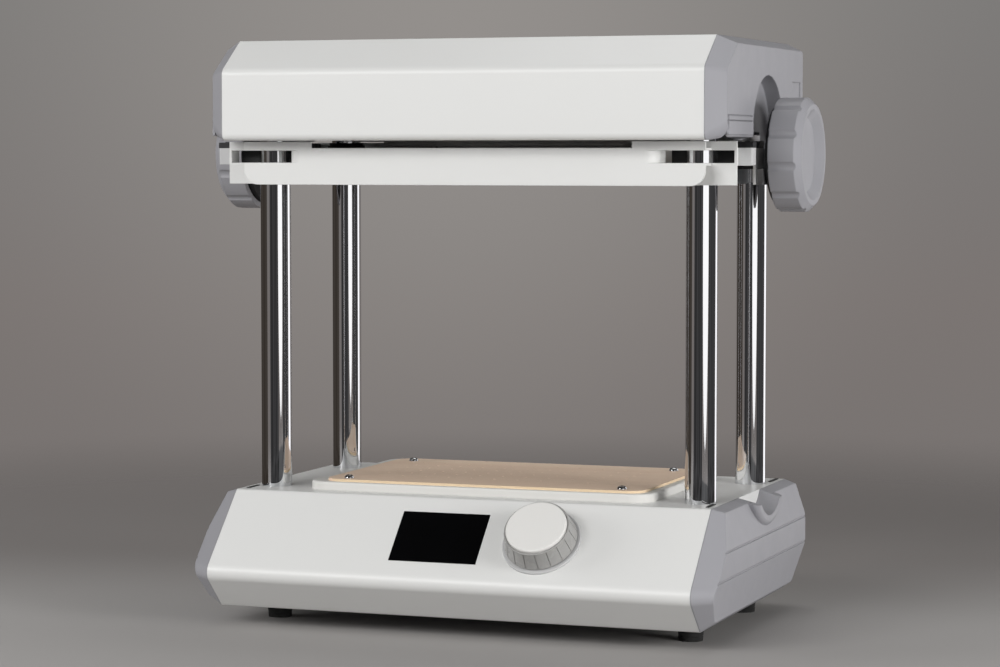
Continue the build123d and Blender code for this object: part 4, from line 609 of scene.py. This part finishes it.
@dataclass(frozen=True)
class FibreMat:
    """Needled ceramic-fibre insulation."""

    name: str
    colour: Colour = (0.80, 0.77, 0.70)
    shade: float = 0.75
    fibres: Pattern = Pattern(1.2 * MM, 6.0)
    depth: float = 0.6 * MM
    roughness: float = 0.95
    sheen: float = 0.4

    def build(self) -> bpy.types.Material:
        """Write the finish's nodes.

        Returns:
            The finish's material.
        """
        graph = Graph(self.name)
        fibres = graph.noise(self.fibres)
        graph.set("Base Color", graph.blend(fibres, self.colour, darker(self.colour, self.shade)))
        graph.set("Roughness", self.roughness)
        graph.set("Sheen Weight", self.sheen)
        graph.set("Normal", graph.bump(fibres, self.depth))
        return graph.material


@dataclass(frozen=True)
class CircuitLaminate:
    """Green solder mask with faint copper tracks under it."""

    name: str
    mask: Colour = (0.01, 0.10, 0.035)
    track: Colour = (0.03, 0.19, 0.07)
    pitch: float = 2.5 * MM
    track_from: float = 0.55
    depth: float = 0.03 * MM
    roughness: float = 0.35

    def build(self) -> bpy.types.Material:
        """Write the finish's nodes.

        Returns:
            The finish's material.
        """
        graph = Graph(self.name)
        cells = graph.add("TexVoronoi")
        cells.distance = "MANHATTAN"
        graph.feed(cells.inputs["Scale"], 1.0 / self.pitch)
        graph.feed(cells.inputs["Vector"], graph.coordinates)
        lines = graph.compute(Operation.ABOVE, cells.outputs["Distance"], self.track_from)
        graph.set("Base Color", graph.blend(lines, self.mask, self.track))
        graph.set("Roughness", self.roughness)
        graph.set("Normal", graph.bump(lines, self.depth))
        return graph.material


@dataclass(frozen=True)
class QuartzHeater:
    """Milky quartz tube with the heating spiral showing through; its lean is in radians per metre."""

    name: str
    milk: Colour = (0.72, 0.70, 0.66)
    wire: Colour = (0.22, 0.19, 0.17)
    turn: float = 3.2 * MM
    lean: float = 320.0
    wire_from: float = 0.35
    depth: float = 0.05 * MM
    strength: float = 0.3
    roughness: float = 0.18
    coat: float = 0.6
    coat_roughness: float = 0.05

    def build(self) -> bpy.types.Material:
        """Write the finish's nodes.

        Returns:
            The finish's material.
        """
        graph = Graph(self.name)
        along = graph.part_of(graph.coordinates, Axis.X)
        up = graph.part_of(graph.coordinates, Axis.Z)
        turns = graph.compute(Operation.MULTIPLY, along, math.tau / self.turn)
        phase = graph.compute(Operation.ADD, turns, graph.compute(Operation.MULTIPLY, up, self.lean))
        spiral = graph.compute(Operation.ABOVE, graph.compute(Operation.SINE, phase), self.wire_from)
        graph.set("Base Color", graph.blend(spiral, self.milk, self.wire))
        graph.set("Roughness", self.roughness)
        graph.set("Coat Weight", self.coat)
        graph.set("Coat Roughness", self.coat_roughness)
        graph.set("Normal", graph.bump(spiral, self.depth, self.strength))
        return graph.material


WHITE: Colour = (0.78, 0.78, 0.765)
WARM_WHITE: Colour = (0.80, 0.79, 0.765)
OFF_WHITE: Colour = (0.73, 0.72, 0.69)
STEATITE: Colour = (0.70, 0.67, 0.60)
GREY: Colour = (0.345, 0.342, 0.365)
LIGHT_GREY: Colour = (0.56, 0.56, 0.56)
SILVER: Colour = (0.36, 0.355, 0.345)
BLACK: Colour = (0.012, 0.012, 0.013)
BRIGHT_STEEL: Colour = (0.55, 0.55, 0.56)
BLUED_STEEL: Colour = (0.06, 0.06, 0.062)
ALUMINIUM: Colour = (0.72, 0.72, 0.73)
ZINC: Colour = (0.50, 0.51, 0.52)
RUBBER: Colour = (0.012, 0.012, 0.012)
RUBBER_BLOOM: Colour = (0.05, 0.05, 0.048)
SILICONE: Colour = (0.18, 0.19, 0.20)
SILICONE_BLOOM: Colour = (0.28, 0.28, 0.29)


def finishes() -> dict[str, bpy.types.Material]:
    """Build one material for each material slot of the record.

    Returns:
        Materials by the record's slot names.
    """
    recipes = {
        "white_paint": PaintedSheet("white_powder_coat", WHITE),
        "tray_paint": PaintedSheet("carriage_powder_coat", WHITE, roughness=0.34, edge=0.9 * MM),
        "bed_moulding": MouldedPlastic("bed_moulding", OFF_WHITE, roughness=0.42, edge=1.2 * MM),
        "grey_plastic": MouldedPlastic("grey_moulding", GREY, roughness=0.4, edge=1.4 * MM),
        "light_grey_plastic": MouldedPlastic("light_grey_moulding", LIGHT_GREY, edge=0.5 * MM),
        "dial_white": MouldedPlastic("dial_face", WARM_WHITE, roughness=0.45, edge=0.5 * MM),
        "dial_silver": MouldedPlastic("dial_skirt", SILVER, roughness=0.26, edge=0.3 * MM),
        "black_plastic": MouldedPlastic("black_moulding", BLACK, roughness=0.42, edge=0.3 * MM),
        "chrome": PolishedChrome("hard_chrome"),
        "steel": DrawnMetal("zinc_plated_steel", BRIGHT_STEEL),
        "black_steel": DrawnMetal("black_oxide_steel", BLUED_STEEL, roughness=0.42),
        "aluminium": DrawnMetal("milled_aluminium", ALUMINIUM, roughness=0.3),
        "plywood": BirchPly("birch_ply"),
        "rubber": SoftRubber("black_rubber", RUBBER, RUBBER_BLOOM),
        "silicone": SoftRubber("grey_silicone", SILICONE, SILICONE_BLOOM, roughness=0.55),
        "display_glass": DarkGlass("display_glass"),
        "circuit_board": CircuitLaminate("circuit_laminate"),
        "fibre_mat": FibreMat("fibre_mat"),
        "heater_quartz": QuartzHeater("heater_quartz"),
        "ceramic": MouldedPlastic("steatite", STEATITE, roughness=0.35, edge=0.4 * MM),
        "zinc_sheet": SpangledZinc("galvanised_sheet", ZINC),
    }
    return {slot: recipe.build() for slot, recipe in recipes.items()}


@dataclass
class Solids:
    """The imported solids, which keep their meshes and get their finishes."""

    frame: dict
    materials: dict[str, bpy.types.Material]

    def dress(self) -> None:
        """Give each node the finish that the record's slot asks for."""
        slots = {entry["node"]: entry["material_slot"] for entry in self.frame["record"]["subparts"]}
        for name, piece in self.frame["nodes"].items():
            for holder in piece.material_slots:
                holder.material = self.materials[slots[name]]
            LOG.info("%s wears %s", name, slots[name])


@dataclass(frozen=True)
class SoftBox:
    """One soft box: where it hangs and aims, its front, its power, and whether gloss mirrors it."""

    name: str
    place: Place
    aim: Place
    width: float
    height: float
    power: float
    outline: Outline = Outline.RECTANGLE
    shines: bool = True

    def build(self) -> None:
        """Hang the lamp."""
        lamp = bpy.data.lights.new(self.name, "AREA")
        lamp.shape = self.outline.value
        lamp.size = self.width
        lamp.size_y = self.height
        lamp.energy = self.power
        holder = bpy.data.objects.new(self.name, lamp)
        holder.location = self.place
        aim = Vector(self.aim) - Vector(self.place)
        holder.rotation_euler = aim.to_track_quat("-Z", "Y").to_euler()
        holder.visible_camera = False
        holder.visible_glossy = self.shines
        bpy.context.scene.collection.objects.link(holder)
        LOG.info("soft box %s hangs", self.name)


@dataclass(frozen=True)
class ShowCard:
    """Studio card, flat then upright, a painted reflection: it glows and only shows in polished metal and
    gloss.

    It bends round the machine from one turn to another, in degrees from straight ahead to the right.
    """

    name: str
    turn_from: float
    turn_to: float
    distance: float = 1.5
    high: float = 1.1
    # Glow of the painted reflection: dim between the streaks, lit in them.
    dim: Colour = (0.015, 0.014, 0.014)
    lit: Colour = (0.075, 0.074, 0.076)
    inner: float = 0.62
    low: float = 0.002
    steps: int = 8
    streaks: Pattern = Pattern(0.22, 3.0, Grain.UPRIGHT)

    def build(self) -> None:
        """Set the card up."""
        mesh = self.bent()
        mesh.materials.append(self.glow())
        card = bpy.data.objects.new(self.name, mesh)
        for ray in ("camera", "diffuse", "shadow", "transmission", "volume_scatter"):
            setattr(card, f"visible_{ray}", False)
        bpy.context.scene.collection.objects.link(card)
        LOG.info("card %s stands", self.name)

    def bent(self) -> bpy.types.Mesh:
        """Make the mesh: points at each step of the bend, joined to those of the step before.

        Returns:
            The card's mesh.
        """
        profile = ((self.inner, self.low), (self.distance, self.low), (self.distance, self.high))
        points, faces = [], []
        for step in range(self.steps + 1):
            turn = math.radians(self.turn_from + (self.turn_to - self.turn_from) * step / self.steps)
            across, ahead = math.sin(turn), -math.cos(turn)
            points += [(reach * across, reach * ahead, height) for reach, height in profile]
            if step:
                new = len(profile) * step
                old = new - len(profile)
                rows = range(len(profile) - 1)
                faces += [(old + row, old + row + 1, new + row + 1, new + row) for row in rows]
        mesh = bpy.data.meshes.new(self.name)
        mesh.from_pydata(points, [], faces)
        return mesh

    def glow(self) -> bpy.types.Material:
        """Write the card's material: a black that glows in upright streaks, painted reflection lines.

        Returns:
            The card's material.
        """
        graph = Graph(self.name)
        # Painted reflection: the card glows, brighter in upright streaks.
        streaks = graph.spread(graph.noise(self.streaks), 0.0, 1.0)
        graph.set("Emission Color", graph.blend(streaks, self.dim, self.lit))
        graph.set("Emission Strength", 1.0)
        graph.set("Base Color", (0.0, 0.0, 0.0))
        graph.set("Specular IOR Level", 0.0)
        return graph.material


@dataclass(frozen=True)
class Backdrop:
    """Warm grey paper backdrop: painted light and shade by height, and a painted pool of light on it.

    It has no distance: a level is the upward part of a direction of length 1, and the pool is such a
    direction.
    """

    # Painted light and shade: the paper's colour at each height, lightest a little above the horizon.
    levels: tuple[tuple[float, Colour], ...] = (
        (-0.160, (0.170, 0.156, 0.150)),
        (-0.100, (0.190, 0.173, 0.166)),
        (-0.050, (0.198, 0.178, 0.170)),
        (-0.010, (0.198, 0.184, 0.178)),
        (0.060, (0.204, 0.198, 0.192)),
        (0.350, (0.160, 0.155, 0.150)),
        (0.600, (0.020, 0.020, 0.020)),
    )
    # A painted pool of light on the paper, round this direction.
    pool: Place = (-0.36, 0.93, 0.053)
    pool_reach: float = 0.21
    pool_colour: Colour = (0.292, 0.275, 0.262)
    fill: Colour = (0.15, 0.15, 0.15)

    def build(self) -> None:
        """Write the world: the backdrop as it is seen, and the even light that it gives."""
        world = bpy.data.worlds.new("studio")
        world.use_nodes = True
        nodes = Nodes(world.node_tree, "Generated")
        seen, output = (world.node_tree.nodes[name] for name in ("Background", "World Output"))
        nodes.feed(seen.inputs["Color"], self.paper(nodes))
        even = nodes.add("Background")
        nodes.feed(even.inputs["Color"], self.fill)
        rays = nodes.add("LightPath")
        shown = rays.outputs["Is Camera Ray"]
        for kind in ("Is Glossy Ray", "Is Transmission Ray"):
            shown = nodes.compute(Operation.MAXIMUM, shown, rays.outputs[kind])
        surface = nodes.choose(shown, even.outputs["Background"], seen.outputs["Background"])
        nodes.feed(output.inputs["Surface"], surface)
        bpy.context.scene.world = world
        LOG.info("backdrop stands")

    def paper(self, nodes: Nodes) -> Socket:
        """Paint light and shade on the paper by height, with the painted pool of light on it.

        Args:
            nodes: Nodes of the world.

        Returns:
            The colour's socket.
        """
        low, high = self.levels[0][0], self.levels[-1][0]
        ramp = nodes.add("ValToRGB")
        stops = ramp.color_ramp.elements
        ready = len(stops)
        for number, (level, colour) in enumerate(self.levels):
            place = (level - low) / (high - low)
            stop = stops[number] if number < ready else stops.new(place)
            stop.position = place
            stop.color = (*colour, 1.0)
        # Painted light and shade: the colour follows the height of the direction.
        height = nodes.part_of(nodes.coordinates, Axis.Z)
        nodes.feed(ramp.inputs["Fac"], nodes.mapped(height, low, high))
        # Painted pool of light, blended in near its direction.
        apart = nodes.measure(Measure.DISTANCE, nodes.coordinates, self.pool)
        near = nodes.mapped(apart, self.pool_reach, 0.0, curve=Curve.SMOOTH)
        return nodes.blend(near, ramp.outputs["Color"], self.pool_colour)


@dataclass(frozen=True)
class Floor:
    """Grey paper floor, darker towards the back with painted shade, which fades into the backdrop far away.

    The painted shade grows towards the back and the floor fades with distance from the machine, both in
    metres.
    """

    half: float = 3.0
    # Floor colour in front, and under full painted shade at the back.
    near: Colour = (0.408, 0.394, 0.384)
    far: Colour = (0.270, 0.252, 0.243)
    back: Place = (-0.24, 0.971, 0.0)
    darken_start: float = -0.05
    darken_end: float = 0.42
    fade_start: float = 0.6
    fade_end: float = 1.7
    mottle: Pattern = Pattern(0.4)
    mottle_share: float = 0.04

    def build(self) -> None:
        """Lay the floor."""
        mesh = bpy.data.meshes.new("floor")
        signs = ((-1, -1), (1, -1), (1, 1), (-1, 1))
        rim = [(across * self.half, deep * self.half, 0.0) for across, deep in signs]
        mesh.from_pydata(rim, [], [(0, 1, 2, 3)])
        mesh.materials.append(self.paper())
        floor = bpy.data.objects.new("floor", mesh)
        bpy.context.scene.collection.objects.link(floor)
        LOG.info("floor lies")

    def paper(self) -> bpy.types.Material:
        """Write the floor's material.

        Returns:
            The floor's material.
        """
        graph = Graph("studio_floor")
        graph.set("Specular IOR Level", 0.0)
        # Painted shade: the floor darkens along the direction of the back.
        run = graph.measure(Measure.ALONG, graph.coordinates, self.back)
        painted_shade = graph.mapped(run, self.darken_start, self.darken_end, curve=Curve.SMOOTH)
        paper = graph.blend(painted_shade, self.near, self.far)
        mottle = graph.spread(graph.noise(self.mottle), 0.0, self.mottle_share)
        graph.set("Base Color", graph.blend(mottle, paper, self.far))
        distance = graph.measure(Measure.LENGTH, graph.coordinates)
        fade = graph.mapped(distance, self.fade_start, self.fade_end, curve=Curve.SMOOTH)
        clear = graph.add("BsdfTransparent").outputs["BSDF"]
        surface = graph.choose(fade, graph.shader.outputs["BSDF"], clear)
        graph.feed(graph.output.inputs["Surface"], surface)
        return graph.material


SOFT_BOXES = (
    SoftBox("round_right", (0.94, -0.80, 0.305), (0.0, 0.0, 0.305), 0.80, 0.52, 1.02, Outline.ELLIPSE),
    SoftBox("front", (-0.75, -2.2, 1.2), (0.0, 0.0, 0.2), 1.6, 0.9, 31.0),
    SoftBox("right", (2.2, -0.7, 0.48), (0.0, 0.0, 0.24), 0.9, 0.9, 35.0, shines=False),
    SoftBox("left", (-2.0, -0.8, 0.65), (0.0, 0.0, 0.24), 0.9, 0.9, 13.5, shines=False),
    SoftBox("high_rear", (0.1, 0.6, 1.9), (0.0, 0.0, 0.2), 1.3, 0.8, 6.6),
)
# Painted reflections: glowing cards seen only in gloss, dark ones and one bright one.
CARDS = (
    ShowCard("card_ahead", -30.0, 31.0, distance=1.35),
    ShowCard("card_floor", 31.0, 68.0, distance=1.2, high=0.01,
             dim=(0.08, 0.08, 0.082), lit=(0.12, 0.12, 0.12)),
    ShowCard("card_right", 68.0, 125.0),
    # A painted bright reflection, glowing though it is no lamp.
    ShowCard("card_bright", 130.0, 150.0, distance=1.3,
             dim=(1.1, 1.08, 1.1), lit=(1.4, 1.38, 1.4)),
    ShowCard("card_left", -128.0, -50.0, distance=1.4,
             dim=(0.028, 0.022, 0.017), lit=(0.068, 0.058, 0.050)),
)


@dataclass(frozen=True)
class Studio:
    """Grey floor and backdrop, soft boxes, and dark and bright cards."""

    floor: Floor = Floor()
    backdrop: Backdrop = Backdrop()
    soft_boxes: tuple[SoftBox, ...] = SOFT_BOXES
    cards: tuple[ShowCard, ...] = CARDS

    def build(self) -> None:
        """Set up everything round the machine."""
        for piece in (self.floor, self.backdrop, *self.soft_boxes, *self.cards):
            piece.build()


@dataclass(frozen=True)
class Viewpoint:
    """Camera with a long lens, a little above the table and to the right; lens and sensor are in mm."""

    place: Place = (0.8125, -2.2415, 0.3795)
    turn: float = math.radians(20.05)
    tilt: float = math.radians(3.506)
    lens: float = 105.0
    sensor: float = 36.0
    sight: float = 50.0

    def build(self) -> None:
        """Set up the scene's camera and colour handling."""
        data = bpy.data.cameras.new("viewpoint")
        data.lens = self.lens
        data.sensor_width = self.sensor
        data.clip_end = self.sight
        camera = bpy.data.objects.new("viewpoint", data)
        camera.location = self.place
        camera.rotation_euler = (math.pi / 2 - self.tilt, 0.0, self.turn)
        bpy.context.scene.collection.objects.link(camera)
        bpy.context.scene.camera = camera
        bpy.context.scene.view_settings.view_transform = "Standard"
        LOG.info("camera stands")


def main() -> None:
    """Load the frame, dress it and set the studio."""
    logging.basicConfig(level=logging.INFO, format="%(name)s: %(message)s")
    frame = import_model()
    Viewpoint().build()
    Solids(frame, finishes()).dress()
    Studio().build()


if __name__ == "__main__":
    main()
